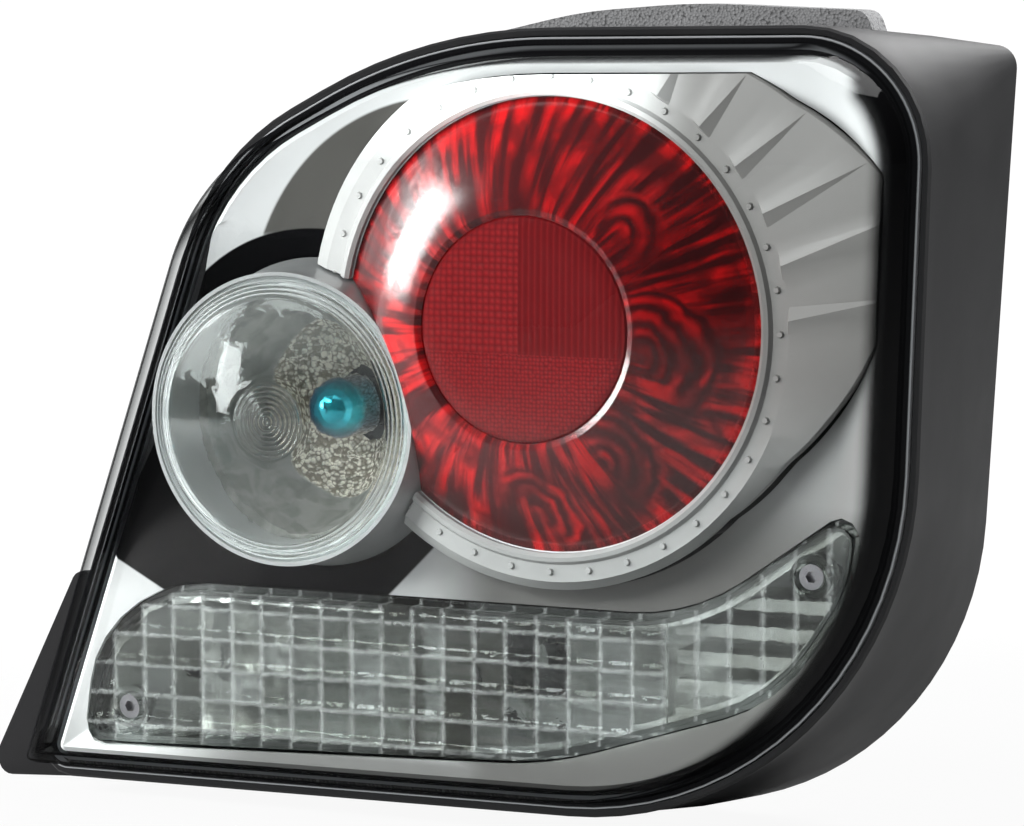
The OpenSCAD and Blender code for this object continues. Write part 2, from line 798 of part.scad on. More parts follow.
module reverse_reflector() {
    floor_y = y_rev_flange + rev_bowl_depth;
    outer = reverse_skin(bowl_t);
    middle = reverse_skin(bowl_t / 2);
    inner = reverse_skin(0);
    rings = [
        outer[0],
        outer[1],
        ring(reverse_line(-rev_lip), y_rev_flange + flange_t),
        ring(reverse_line(-rev_lip), y_rev_flange),
        ring(reverse_line(3.2), y_rev_flange),
        inner[1],
        inner[0],
    ];
    color("#b8babc") {
        difference() {
            union() {
                shell(rings, [REV.x, floor_y, REV.y], [REV.x, floor_y - bowl_t, REV.y]);
                intersection() {
                    shell(middle, [REV.x, floor_y - bowl_t / 2, REV.y], [REV.x, y_rev_flange + flange_t, REV.y]);
                    for (k = [0:bar_count - 1])
                        translate([bar_field.x, y_rev_flange + 8 + k, bar_low + k * bar_pitch])
                            cube([bar_field.y - bar_field.x, rev_bowl_depth, bar_t]);
                }
            }
            ahead(REV, 0) cylinder(r = neck_r, h = 60);
            for (s = SCREWS) ahead(s, 0) cylinder(r = 1.8, h = 90);
        }
    }
}

// Bulbs and holders

y_bulb_base = -14;
holder_floor = 6;
y_terminal = y_bulb_base + 10 + seat_gap;

module bulb_glass(c, tint, lift = 0) {
    h = bulb_len;
    color(tint, 0.6)
        turned_profile(c, y_bulb_base - lift, [
            [0, 0.5], [bulb_r - 2.5, 0], [bulb_r - 1, 3], [bulb_r, 8], [bulb_r, h - bulb_r],
            [bulb_r * 0.92, h - bulb_r * 0.6], [bulb_r * 0.7, h - bulb_r * 0.28],
            [bulb_r * 0.38, h - 1], [0.8, h - 0.2], [0.8, h + 1], [0, h + 1.4],
            [0, h - 1.2], [bulb_r * 0.36, h - 2], [bulb_r * 0.64, h - bulb_r * 0.36],
            [bulb_r * 0.84, h - bulb_r * 0.62], [bulb_r - 0.8, h - bulb_r],
            [bulb_r - 0.8, 8], [bulb_r - 1.8, 3.4], [bulb_r - 3, 1.6], [0, 1.6],
        ]);
}

module bulb_cap(c, lift = 0) {
    color("#2b2b2d")
        difference() {
            union() {
                ahead(c, y_bulb_base + 10) cylinder(r = bulb_r - 1.6, h = 10 + lift);
                translate([c.x - 8, y_bulb_base, c.y - 2.5]) cube([16, 10, 5]);
            }
            ahead(c, y_bulb_base + 2) cylinder(r = 1.2, h = 5);
        }
}

module bulb_filament(c, lift = 0) {
    foot = y_bulb_base - lift - 1.6;
    color("#b7b2a6") {
        for (s = [-1, 1]) ahead(c + [3 * s, 0], foot) cylinder(r = 0.35, h = bulb_len - 15);
        translate([c.x - 3.4, foot - bulb_len + 15, c.y])
            rotate([0, 90, 0])
                cylinder(r = 0.5, h = 6.8);
    }
}

module bulb_holder(c) {
    well_w = inlet_w + 2 * inlet_wall;
    well_h = inlet_h + 2 * inlet_wall;
    top = seal_t + 3 + holder_floor;
    color("#202022")
        difference() {
            union() {
                ahead(c, seal_t) cylinder(r = barrel_r, h = seal_t + 16);
                behind(c, seal_t) cylinder(r = flange_r, h = 3);
                behind(c, seal_t + 3) cylinder(r = barrel_r - 1, h = holder_floor);
                for (a = [0, 90])
                    translate([c.x, seal_t + 3, c.y])
                        rotate([0, a + 45, 0])
                            translate([-flange_r + 1, -pad, -1.5])
                                cube([2 * flange_r - 2, holder_floor, 3]);
                translate([c.x - well_w / 2, top - pad, c.y - well_h / 2])
                    cube([well_w, inlet_depth + pad, well_h]);
                for (k = [0:lug_count - 1])
                    translate([c.x, 0, c.y])
                        rotate([0, k * 360 / lug_count + lug_turn, 0])
                            translate([-lug_w / 2, -housing_wall - 1 - seat_gap - 3, 0])
                                cube([lug_w, 3, barrel_r + lug_out]);
            }
            translate([c.x - inlet_w / 2, top, c.y - inlet_h / 2])
                cube([inlet_w, inlet_depth + pad, inlet_h]);
            ahead(c, y_bulb_base + 12) cylinder(r = bulb_r - 1, h = 30);
            translate([c.x - 8.3, y_bulb_base + 1, c.y - 2.8]) cube([16.6, 12.4, 5.6]);
            for (s = [-1, 1])
                translate([c.x + 4 * s - 1.4, y_terminal, c.y - 0.4]) cube([2.8, 30, 0.8]);
        }
}

module holder_seal(c) {
    color("#303033")
        behind(c, 0)
            difference() {
                cylinder(r = flange_r - 1, h = seal_t);
                translate([0, 0, -pad]) cylinder(r = barrel_r, h = seal_t + 2 * pad);
            }
}

module holder_terminals(c) {
    color("#c8a24a")
        for (s = [-1, 1])
            translate([c.x + 4 * s - 1.4, y_terminal, c.y - 0.4])
                cube([2.8, seal_t + 3 + holder_floor + blade_len - y_terminal, 0.8]);
}

module tail_bulb_glass() { bulb_glass(TAIL, "#f2f4f5"); }
module tail_bulb_cap() { bulb_cap(TAIL); }
module tail_bulb_filament() { bulb_filament(TAIL); }
module indicator_bulb_glass() { bulb_glass(IND, "#1fa6cf", ind_bulb_lift); }
module indicator_bulb_cap() { bulb_cap(IND, ind_bulb_lift); }
module indicator_bulb_filament() { bulb_filament(IND, ind_bulb_lift); }
module reverse_bulb_glass() { bulb_glass(REV, "#f2f4f5"); }
module reverse_bulb_cap() { bulb_cap(REV); }
module reverse_bulb_filament() { bulb_filament(REV); }
module tail_bulb_holder() { bulb_holder(TAIL); }
module indicator_bulb_holder() { bulb_holder(IND); }
module reverse_bulb_holder() { bulb_holder(REV); }
module tail_holder_seal() { holder_seal(TAIL); }
module indicator_holder_seal() { holder_seal(IND); }
module reverse_holder_seal() { holder_seal(REV); }
module tail_holder_terminals() { holder_terminals(TAIL); }
module indicator_holder_terminals() { holder_terminals(IND); }
module reverse_holder_terminals() { holder_terminals(REV); }

// Seals and vent

gasket_w = 7;
gasket_t = 3;

module body_gasket() {
    color("#2a2a2c")
        along_y(0, gasket_t)
            difference() {
                polygon(rear_line(5));
                polygon(rear_line(5 + gasket_w));
            }
}

foam_from = -46;
foam_to = -34;
FOAM_EDGE = [
    [-36, 110, 1], [96, 112, 1], [107.5, 116, 3], [104, 125.5, 5], [46, 127.5, 200],
    [8, 124.5, 150], [-36, 114.6, 0.5],
];
FOAM_STEPS = [1, 1, 2, 4, 3, 3, 1];

module upper_foam_seal() {
    skin = housing_skin();
    color("#3a3a3c")
        difference() {
            along_y(foam_from, foam_to) polygon(outline(FOAM_EDGE, FOAM_STEPS));
            shell(skin, [MIDDLE.x, 0, MIDDLE.y], [MIDDLE.x, y_rim, MIDDLE.y]);
        }
}

module vent_cap() {
    color("#262628")
        turned_profile(VENT_AT, 7, [
            [0, 0], [vent_r, 0], [vent_r + 1, 1], [vent_r + 1, 7], [vent_r - 1, 7],
            [vent_r - 1, 2], [vent_r / 2 - 0.2, 2], [vent_r / 2 - 0.2, 10.5], [0, 10.5],
        ]);
}

translate([0, -gasket_t, 0]) {
    housing();
    outer_lens();
    lens_sealant();
    trim_bezel();
    tail_surround();
    tail_lens();
    reflex_reflector();
    tail_reflector();
    indicator_tube();
    indicator_lens();
    indicator_reflector();
    reverse_lens();
    reverse_reflector();
    reverse_lens_screws();
    tail_bulb_glass();
    tail_bulb_cap();
    tail_bulb_filament();
    indicator_bulb_glass();
    indicator_bulb_cap();
    indicator_bulb_filament();
    reverse_bulb_glass();
    reverse_bulb_cap();
    reverse_bulb_filament();
    tail_bulb_holder();
    indicator_bulb_holder();
    reverse_bulb_holder();
    tail_holder_seal();
    indicator_holder_seal();
    reverse_holder_seal();
    tail_holder_terminals();
    indicator_holder_terminals();
    reverse_holder_terminals();
    mounting_studs();
    body_gasket();
    upper_foam_seal();
    vent_cap();
}
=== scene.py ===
"""Looks of a car tail light cluster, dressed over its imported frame.

Sizes are in millimetres and turned to metres where a mesh is made. The lens faces -Y, +X is
outboard to the right seen from behind the car, and +Z is up.
"""
import logging
import math
from collections.abc import Sequence
from dataclasses import dataclass
from enum import Enum

import bmesh
import bpy
from bpy.types import Camera, Light, Material, Node, NodeSocket, Object, World
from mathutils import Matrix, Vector


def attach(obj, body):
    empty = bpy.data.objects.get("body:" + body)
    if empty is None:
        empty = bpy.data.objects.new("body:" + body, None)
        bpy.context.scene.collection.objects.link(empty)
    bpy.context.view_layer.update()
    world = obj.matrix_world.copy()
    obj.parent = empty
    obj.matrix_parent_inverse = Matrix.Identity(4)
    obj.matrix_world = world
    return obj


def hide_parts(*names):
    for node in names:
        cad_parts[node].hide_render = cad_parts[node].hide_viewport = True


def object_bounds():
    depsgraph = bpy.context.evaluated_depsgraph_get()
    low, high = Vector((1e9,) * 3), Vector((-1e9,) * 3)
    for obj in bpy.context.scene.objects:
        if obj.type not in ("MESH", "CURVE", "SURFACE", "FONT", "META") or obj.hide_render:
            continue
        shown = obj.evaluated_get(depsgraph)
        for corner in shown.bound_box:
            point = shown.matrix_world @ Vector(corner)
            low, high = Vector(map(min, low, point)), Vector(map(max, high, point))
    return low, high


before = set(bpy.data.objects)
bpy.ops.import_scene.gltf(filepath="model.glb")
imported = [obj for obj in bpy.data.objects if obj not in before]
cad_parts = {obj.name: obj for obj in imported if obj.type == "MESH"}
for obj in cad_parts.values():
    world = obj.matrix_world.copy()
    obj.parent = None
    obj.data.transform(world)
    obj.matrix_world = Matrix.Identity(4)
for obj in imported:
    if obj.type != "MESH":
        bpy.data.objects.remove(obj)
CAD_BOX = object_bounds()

LOG = logging.getLogger("tail_light")
MM = 0.001
BODY = "root"

# Distances in metres under which points are merged and slivers dropped
MERGE = 2e-6
SLIVER = 1e-6

# Axes of the red lamp and the small one, across and up
TAIL = (13.0, 28.0)
INDICATOR = (-76.5, -4.5)

Value = float | Sequence[float] | NodeSocket
Colour = tuple[float, float, float]
Span = tuple[float, float]
Triple = tuple[float, float, float]


class Edge(Enum):
    """How sharp a turn stays an edge when a skin is shaded smooth, in degrees."""

    MOULDED = 32.0
    OPTIC = 24.0
    TURNED = 40.0
    BOXED = 20.0


# Node graphs


def shaded(colour: Colour, factor: float) -> Colour:
    """A colour made lighter or darker by a factor."""
    return tuple(part * factor for part in colour)


class Graph:
    """A material's node tree, with short calls for the nodes that the finishes use."""

    def __init__(self, name: str, world: World | None = None) -> None:
        """Starts an empty tree.

        Args:
            name: Name of the new material.
            world: World that the tree belongs to, in place of a new material.
        """
        self.material = world or bpy.data.materials.new(name)
        self.material.use_nodes = True
        self.tree = self.material.node_tree
        self.tree.nodes.clear()
        self.output = self.tree.nodes.new("ShaderNodeOutputWorld" if world else "ShaderNodeOutputMaterial")

    def feed(self, socket: NodeSocket, value: Value) -> None:
        """Links a socket or sets its value.

        Args:
            socket: Input socket.
            value: Output socket, number or colour.
        """
        if isinstance(value, NodeSocket):
            self.tree.links.new(value, socket)
        elif isinstance(value, Sequence) and socket.type == "RGBA" and len(value) == 3:
            socket.default_value = (*value, 1.0)
        else:
            socket.default_value = value

    def add(self, kind: str, inputs: dict[str | int, Value] | None = None, **settings: object) -> Node:
        """Adds a node.

        Args:
            kind: Type name of the node.
            inputs: Values or links by socket name or number.
            **settings: Properties of the node.

        Returns:
            The new node.
        """
        node = self.tree.nodes.new(kind)
        for key, value in settings.items():
            setattr(node, key, value)
        for key, value in (inputs or {}).items():
            self.feed(node.inputs[key], value)
        return node

    def place(self, centre: Triple = (0.0, 0.0, 0.0)) -> NodeSocket:
        """Object coordinates in millimetres from a centre.

        Args:
            centre: Place of the pattern's origin in millimetres.

        Returns:
            The vector socket.
        """
        source = self.add("ShaderNodeTexCoord").outputs["Object"]
        inputs = {"Vector": source, "Location": tuple(-c for c in centre), "Scale": (1 / MM,) * 3}
        return self.add("ShaderNodeMapping", inputs).outputs["Vector"]

    def split(self, vector: NodeSocket) -> tuple[NodeSocket, NodeSocket, NodeSocket]:
        """The three parts of a vector."""
        parts = self.add("ShaderNodeSeparateXYZ", {0: vector}).outputs
        return parts["X"], parts["Y"], parts["Z"]

    def calc(self, operation: str, *values: Value) -> NodeSocket:
        """One step of arithmetic.

        Args:
            operation: Name of the math operation.
            *values: Its operands.

        Returns:
            The result socket.
        """
        node = self.add("ShaderNodeMath", dict(enumerate(values)), operation=operation)
        return node.outputs[0]

    def times(self, first: Value, second: Value) -> NodeSocket:
        """The product of two values."""
        return self.calc("MULTIPLY", first, second)

    def less(self, value: Value, part: Value) -> NodeSocket:
        """A value less a part of it."""
        return self.calc("SUBTRACT", value, part)

    def along(self, x: Value, z: Value, way: Span) -> NodeSocket:
        """How far a place lies along a way across and up."""
        return self.calc("ADD", self.times(x, way[0]), self.times(z, way[1]))

    def reach(self, across: Value, up: Value) -> NodeSocket:
        """Distance from the origin, from its parts across and up."""
        squares = [self.calc("POWER", part, 2.0) for part in (across, up)]
        return self.calc("SQRT", self.calc("ADD", *squares))

    def waves(self, value: Value, pitch: float) -> NodeSocket:
        """Humps from 0 to 1, one to each pitch."""
        return self.calc("ABSOLUTE", self.calc("SINE", self.times(value, math.pi / pitch)))

    def slope(self, value: Value, start: Span, end: Span, kind: str = "LINEAR") -> NodeSocket:
        """Maps a value from one span to another, without leaving it.

        Args:
            value: Value that is mapped.
            start: Span that it comes from.
            end: Span that it goes to.
            kind: How it goes from end to end.

        Returns:
            The result socket.
        """
        names = ("From Min", "From Max", "To Min", "To Max")
        inputs = {"Value": value, **dict(zip(names, (*start, *end)))}
        return self.add("ShaderNodeMapRange", inputs, interpolation_type=kind).outputs["Result"]

    def fade(self, value: Value, low: float, high: float) -> NodeSocket:
        """A smooth step that rises from 0 at low to 1 at high, or falls where low is the greater."""
        start, end = ((low, high), (0.0, 1.0)) if low < high else ((high, low), (1.0, 0.0))
        return self.slope(value, start, end, "SMOOTHSTEP")

    def patch(self, x: Value, z: Value, across: Span, up: Span) -> NodeSocket:
        """A mask that fades in across and up."""
        return self.times(self.fade(z, *up), self.fade(x, *across))

    def noise(self, vector: NodeSocket, size: float, detail: float = 3.0, stretch: float = 0.0) -> NodeSocket:
        """Cloud noise.

        Args:
            vector: Coordinates in millimetres.
            size: Size of a cloud in millimetres.
            detail: Number of finer layers.
            stretch: Distortion of the clouds.

        Returns:
            The value socket.
        """
        inputs = {"Vector": vector, "Scale": 1.0 / size, "Detail": detail, "Distortion": stretch}
        return self.add("ShaderNodeTexNoise", inputs).outputs["Fac"]

    def cells(self, vector: NodeSocket, size: float, spread: float = 1.0) -> NodeSocket:
        """Distance pattern of scattered cells.

        Args:
            vector: Coordinates in millimetres.
            size: Size of a cell in millimetres.
            spread: How far the cells stray from a grid.

        Returns:
            The distance socket.
        """
        inputs = {"Vector": vector, "Scale": 1.0 / size, "Randomness": spread}
        return self.add("ShaderNodeTexVoronoi", inputs).outputs["Distance"]

    def tint(self, factor: Value, low: Value, high: Value) -> NodeSocket:
        """Blends two colours.

        Args:
            factor: Share of the second colour.
            low: First colour.
            high: Second colour.

        Returns:
            The colour socket.
        """
        node = self.add("ShaderNodeMix", data_type="RGBA")
        self.feed(node.inputs["Factor"], factor)
        self.feed(node.inputs[6], low)
        self.feed(node.inputs[7], high)
        return node.outputs[2]

    def bump(self, height: NodeSocket, depth: float, under: NodeSocket | None = None) -> NodeSocket:
        """Relief of the surface.

        Args:
            height: Height pattern, from 0 to 1.
            depth: Height in millimetres that 1 stands for.
            under: Normal of a relief beneath this one.

        Returns:
            The normal socket.
        """
        inputs: dict[str | int, Value] = {"Height": height, "Strength": 1.0, "Distance": depth * MM}
        if under is not None:
            inputs["Normal"] = under
        return self.add("ShaderNodeBump", inputs).outputs["Normal"]

    def surface(self, **inputs: Value) -> NodeSocket:
        """A principled surface, with underscores for spaces in the names of its sockets."""
        named = {key.replace("_", " "): value for key, value in inputs.items()}
        return self.add("ShaderNodeBsdfPrincipled", named).outputs["BSDF"]

    def blend(self, factor: Value, first: NodeSocket, second: NodeSocket) -> NodeSocket:
        """Blends two shaders, by the share of the second."""
        return self.add("ShaderNodeMixShader", {0: factor, 1: first, 2: second}).outputs[0]

    def clear(self, colour: Value) -> NodeSocket:
        """A wall that only tints what is behind it."""
        return self.add("ShaderNodeBsdfTransparent", {"Color": colour}).outputs[0]

    def matt(self, colour: Colour) -> NodeSocket:
        """A plain matt surface."""
        return self.add("ShaderNodeBsdfDiffuse", {"Color": colour}).outputs[0]

    def gloss(self, roughness: float, normal: NodeSocket) -> NodeSocket:
        """A bare reflection."""
        inputs = {"Color": (1.0, 1.0, 1.0), "Roughness": roughness, "Normal": normal}
        return self.add("ShaderNodeBsdfGlossy", inputs).outputs[0]

    def glass(self, colour: Value, roughness: float, bend: float, normal: NodeSocket) -> NodeSocket:
        """Solid clear plastic or glass that bends light."""
        inputs = {"Color": colour, "Roughness": roughness, "IOR": bend, "Normal": normal}
        return self.add("ShaderNodeBsdfGlass", inputs).outputs[0]

    def shine(self, bend: float) -> NodeSocket:
        """Share of light that the front of a clear wall reflects; its back passes all, as the wall is thin.

        Args:
            bend: Refractive index.

        Returns:
            The factor socket.
        """
        share = self.add("ShaderNodeFresnel", {"IOR": bend}).outputs[0]
        behind = self.add("ShaderNodeNewGeometry").outputs["Backfacing"]
        return self.times(share, self.less(1.0, behind))

    def let_light_in(self, shader: NodeSocket, colour: Colour) -> NodeSocket:
        """Lets lamps shine through a clear wall, tinted by its colour."""
        shadow = self.add("ShaderNodeLightPath").outputs["Is Shadow Ray"]
        return self.blend(shadow, shader, self.clear(colour))

    def done(self, shader: NodeSocket) -> Material:
        """Joins the shader to the output and gives the material."""
        self.tree.links.new(shader, self.output.inputs["Surface"])
        return self.material


# Finishes


@dataclass(frozen=True)
class MouldedPlastic:
    """Moulded plastic with a fine spark-eroded grain and slight sink marks."""

    name: str
    colour: Colour
    roughness: float
    grain: float
    depth: float
    sink: float = 28.0
    sink_depth: float = 0.25
    lift: float = 1.6
    spread: float = 0.16

    def build(self) -> Material:
        """Builds the finish.

        Returns:
            The finished material.
        """
        g = Graph(self.name)
        p = g.place()
        wide = g.noise(p, self.sink, 2.0)
        fine = g.noise(p, self.grain, 4.0)
        rough = g.calc("ADD", g.times(wide, self.spread), self.roughness - self.spread / 2)
        normal = g.bump(fine, self.depth, g.bump(wide, self.sink_depth))
        base = g.tint(wide, self.colour, shaded(self.colour, self.lift))
        return g.done(g.surface(Base_Color=base, Roughness=rough, Normal=normal, Specular_IOR_Level=0.3))


@dataclass(frozen=True)
class ClearCover:
    """Clear polished cover, with painted shade in a dark band towards its bonded edge and along its turned
    side walls, and a painted highlight along the seam.
    """

    name: str = "clear_cover"
    tint: Colour = (0.975, 0.985, 0.985)
    shadow: Colour = (0.965, 0.975, 0.975)
    # Painted shade in the dark band
    edge: Colour = (0.004, 0.004, 0.0045)
    # Painted highlight along the seam
    seam_highlight: Colour = (0.3, 0.31, 0.32)
    bend: float = 1.42
    polish: float = 0.02
    wave: Span = (60.0, 0.35)
    dark: Span = (-83.0, -78.5)
    painted_shade_share: float = 0.97
    face_at: float = -110.2
    shoulder: float = 2.0
    turned_from: Span = (0.68, 0.8)
    line_rise: Span = (0.8, 0.84)
    line_fall: Span = (0.93, 0.89)
    line_share: float = 0.45
    seam: float = -76.1
    seam_highlight_share: float = 0.8
    corner: Triple = (12.0, -8.0, 115.0)
    inset: Span = (13.0, 9.0)
    far: Span = (-98.0, -88.0)
    least_gloss: float = 0.12
    face_gloss: float = 0.38
    face_depth: float = 3.0

    def painted_side_shade(self, g: Graph, x: NodeSocket, z: NodeSocket) -> NodeSocket:
        """Painted shade along the right and lower edges, where the cover turns into its side wall.

        Args:
            g: Graph that the nodes go into.
            x: Place across, in millimetres.
            z: Height, in millimetres.

        Returns:
            The mask socket.
        """
        across = g.calc("MAXIMUM", g.less(x, self.corner[0]), 0.0)
        down = g.calc("MAXIMUM", g.less(self.corner[1], z), 0.0)
        return g.fade(g.less(self.corner[2], g.reach(across, down)), *self.inset)

    def build(self) -> Material:
        """Builds the finish.

        Returns:
            The finished material.
        """
        g = Graph(self.name)
        p = g.place()
        x, y, z = g.split(p)
        wave = g.bump(g.noise(p, self.wave[0], 1.0), self.wave[1])
        facing = g.add("ShaderNodeLayerWeight", {"Blend": 0.5}).outputs["Facing"]
        # Painted shade: a dark band near the seam, along the right and lower side walls and where the cover
        # turns away from the eye, with a lighter line left in it
        aside = g.fade(y, self.face_at, self.face_at + self.shoulder)
        turned = g.times(g.fade(facing, *self.turned_from), aside)
        line = g.times(g.fade(facing, *self.line_rise), g.fade(facing, *self.line_fall))
        turned = g.times(turned, g.less(1.0, g.times(line, self.line_share)))
        far = g.times(self.painted_side_shade(g, x, z), g.fade(y, *self.far))
        painted_shade_band = g.calc("MAXIMUM", g.calc("MAXIMUM", g.fade(y, *self.dark), far), turned)
        body = g.blend(g.times(painted_shade_band, self.painted_shade_share), g.clear(self.tint), g.matt(self.edge))
        # Painted highlight along the seam
        cut = g.times(g.fade(y, self.seam - 0.1, self.seam + 0.1), self.seam_highlight_share)
        body = g.blend(cut, body, g.surface(Base_Color=self.seam_highlight, Roughness=0.3, Normal=wave))
        face = g.times(g.fade(y, self.face_at + self.face_depth, self.face_at), self.face_gloss)
        calm = g.times(g.calc("ADD", self.least_gloss, face), g.less(1.0, turned))
        share = g.times(g.shine(self.bend), calm)
        return g.done(g.let_light_in(g.blend(share, body, g.gloss(self.polish, wave)), self.shadow))


@dataclass(frozen=True)
class SatinTrim:
    """Satin silver coating, with painted shade in the recess round the small lamp and beside the large one,
    painted shade on its lower field, foot, right side and one facet, and painted light on its lower left
    corner.
    """

    name: str = "satin_trim_coat"
    light: Colour = (0.78, 0.79, 0.79)
    # Painted light on the lower left corner
    pale: Colour = (0.98, 0.99, 0.98)
    # Painted shade on the lower field, foot, right side and facet
    middle: Colour = (0.1, 0.097, 0.09)
    # Painted shade in the recess round the small lamp, and a lighter copy of it towards the right
    recess_shade: Colour = (0.001, 0.001, 0.0012)
    recess_shade_lift: float = 3.2
    cloudy: float = 0.86
    metal: float = 0.25
    roughness: float = 0.46
    recess_shade_fade: Span = (-145.0, -60.0)
    recess: Span = (59.8, 59.2)
    recess_below: Span = (-2.0, -6.0)
    corner_way: Span = (0.588, 0.809)
    corner_fade: Span = (-131.6, -130.8)
    right_way: Span = (-0.707, 0.707)
    right_fade: Span = (-9.0, -8.0)
    facet_centre: Span = (-24.0, 22.0)
    facet_reach: Span = (77.0, 76.0)
    # Each patch has its fades across and up, and some a share
    facet_sides: tuple[Span, Span] = ((-30.0, -42.0), (50.0, 54.0))
    painted_light_corner: tuple[Span, Span] = ((-95.0, -125.0), (-50.0, -70.0))
    low_field: tuple[Span, Span, float] = ((-50.0, -10.0), (20.0, -50.0), 1.0)
    foot: tuple[Span, Span, float] = ((-165.0, -90.0), (-108.0, -116.0), 0.9)
    right: tuple[Span, Span, float] = ((60.0, 95.0), (70.0, 30.0), 0.7)
    low_shade_share: float = 0.9

    def painted_recess_shade(self, g: Graph, x: NodeSocket, z: NodeSocket) -> NodeSocket:
        """Mask of the painted shade in the recess round the small lamp.

        Args:
            g: Graph that the nodes go into.
            x: Place across, in millimetres.
            z: Height, in millimetres.

        Returns:
            The mask socket.
        """
        around = g.reach(g.less(x, INDICATOR[0]), g.less(z, INDICATOR[1]))
        mask = g.calc("MAXIMUM", g.fade(around, *self.recess), g.fade(z, *self.recess_below))
        for way, ends in ((self.corner_way, self.corner_fade), (self.right_way, self.right_fade)):
            mask = g.times(mask, g.fade(g.along(x, z, way), *ends))
        return mask

    def painted_low_shade(self, g: Graph, x: NodeSocket, z: NodeSocket) -> NodeSocket:
        """Mask of the painted shade on the lower field, the foot and the right side.

        Args:
            g: Graph that the nodes go into.
            x: Place across, in millimetres.
            z: Height, in millimetres.

        Returns:
            The mask socket.
        """
        low: Value = 0.0
        for across, up, share in (self.low_field, self.foot, self.right):
            low = g.calc("MAXIMUM", low, g.times(g.patch(x, z, across, up), share))
        return g.times(low, self.low_shade_share)

    def build(self) -> Material:
        """Builds the finish.

        Returns:
            The finished material.
        """
        g = Graph(self.name)
        p = g.place()
        x, _, z = g.split(p)
        painted_recess_shade = self.painted_recess_shade(g, x, z)
        bend = g.reach(g.less(x, self.facet_centre[0]), g.less(z, self.facet_centre[1]))
        facet_shade = g.times(g.fade(bend, *self.facet_reach), g.patch(x, z, *self.facet_sides))
        flakes = g.noise(p, 0.35, 2.0)
        cloud = g.noise(p, 45.0, 2.0)
        base = g.tint(cloud, self.light, shaded(self.light, self.cloudy))
        # Painted light on the lower left corner
        base = g.tint(g.patch(x, z, *self.painted_light_corner), base, self.pale)
        # Painted shade on the lower field, foot, right side and facet
        base = g.tint(self.painted_low_shade(g, x, z), base, self.middle)
        base = g.tint(facet_shade, base, self.middle)
        # Painted shade in the recess, darker towards the left
        recess_shade_tone = g.tint(g.fade(x, *self.recess_shade_fade), self.recess_shade, shaded(self.recess_shade, self.recess_shade_lift))
        return g.done(
            g.surface(
                Base_Color=g.tint(painted_recess_shade, base, recess_shade_tone),
                Metallic=g.times(g.less(1.0, painted_recess_shade), self.metal),
                Roughness=g.less(self.roughness, g.times(painted_recess_shade, 0.1)),
                Specular_IOR_Level=0.03,
                Normal=g.bump(flakes, 0.012, g.bump(cloud, 0.3)),
            )
        )


@dataclass(frozen=True)
class BrightCoat:
    """Metal coating on plastic, with faint flow lines under it."""

    name: str
    colour: Colour
    roughness: float
    ripple: float
    metal: float
    cloudy: float = 0.82

    def build(self) -> Material:
        """Builds the finish.

        Returns:
            The finished material.
        """
        g = Graph(self.name)
        p = g.place()
        cloud = g.noise(p, 9.0, 3.0, 0.6)
        fine = g.noise(p, 0.6, 2.0)
        rough = g.calc("ADD", g.times(cloud, 0.1), self.roughness - 0.05)
        base = g.tint(cloud, self.colour, shaded(self.colour, self.cloudy))
        normal = g.bump(fine, 0.006, g.bump(cloud, self.ripple))
        return g.done(g.surface(Base_Color=base, Metallic=self.metal, Roughness=rough, Normal=normal))


@dataclass(frozen=True)
class FlaredCoat:
    """Satin coating of the flared surround, with a painted highlight along its upper sweep, painted light at
    the left and below, and painted shade at the right.
    """

    name: str = "flared_satin_coat"
    # Painted highlight along the upper sweep, painted shade at the right and painted light below
    top: Colour = (0.95, 0.96, 0.95)
    side: Colour = (0.135, 0.131, 0.126)
    low: Colour = (0.28, 0.285, 0.28)
    low_fade: Span = (-10.0, -60.0)
    upper: tuple[Span, Span] = ((50.0, 10.0), (35.0, 75.0))
    left: Span = (-20.0, -60.0)
    left_share: float = 0.3
    cloud_share: float = 0.3
    metal: float = 0.1
    roughness: float = 0.46

    def build(self) -> Material:
        """Builds the finish.

        Returns:
            The finished material.
        """
        g = Graph(self.name)
        p = g.place((TAIL[0], 0.0, TAIL[1]))
        x, _, z = g.split(p)
        cloud = g.noise(p, 12.0, 3.0, 0.6)
        # Painted light and shade: highlight along the upper sweep, light at the left and below, shade at the
        # right
        base = g.tint(g.fade(z, *self.low_fade), self.side, self.low)
        left = g.times(g.fade(x, *self.left), self.left_share)
        base = g.tint(g.calc("MAXIMUM", g.patch(x, z, *self.upper), left), base, self.top)
        base = g.tint(g.times(cloud, self.cloud_share), base, self.side)
        normal = g.bump(g.noise(p, 0.6, 2.0), 0.006, g.bump(cloud, 0.04))
        coat = g.surface(Base_Color=base, Metallic=self.metal, Roughness=self.roughness, Normal=normal)
        return g.done(coat)


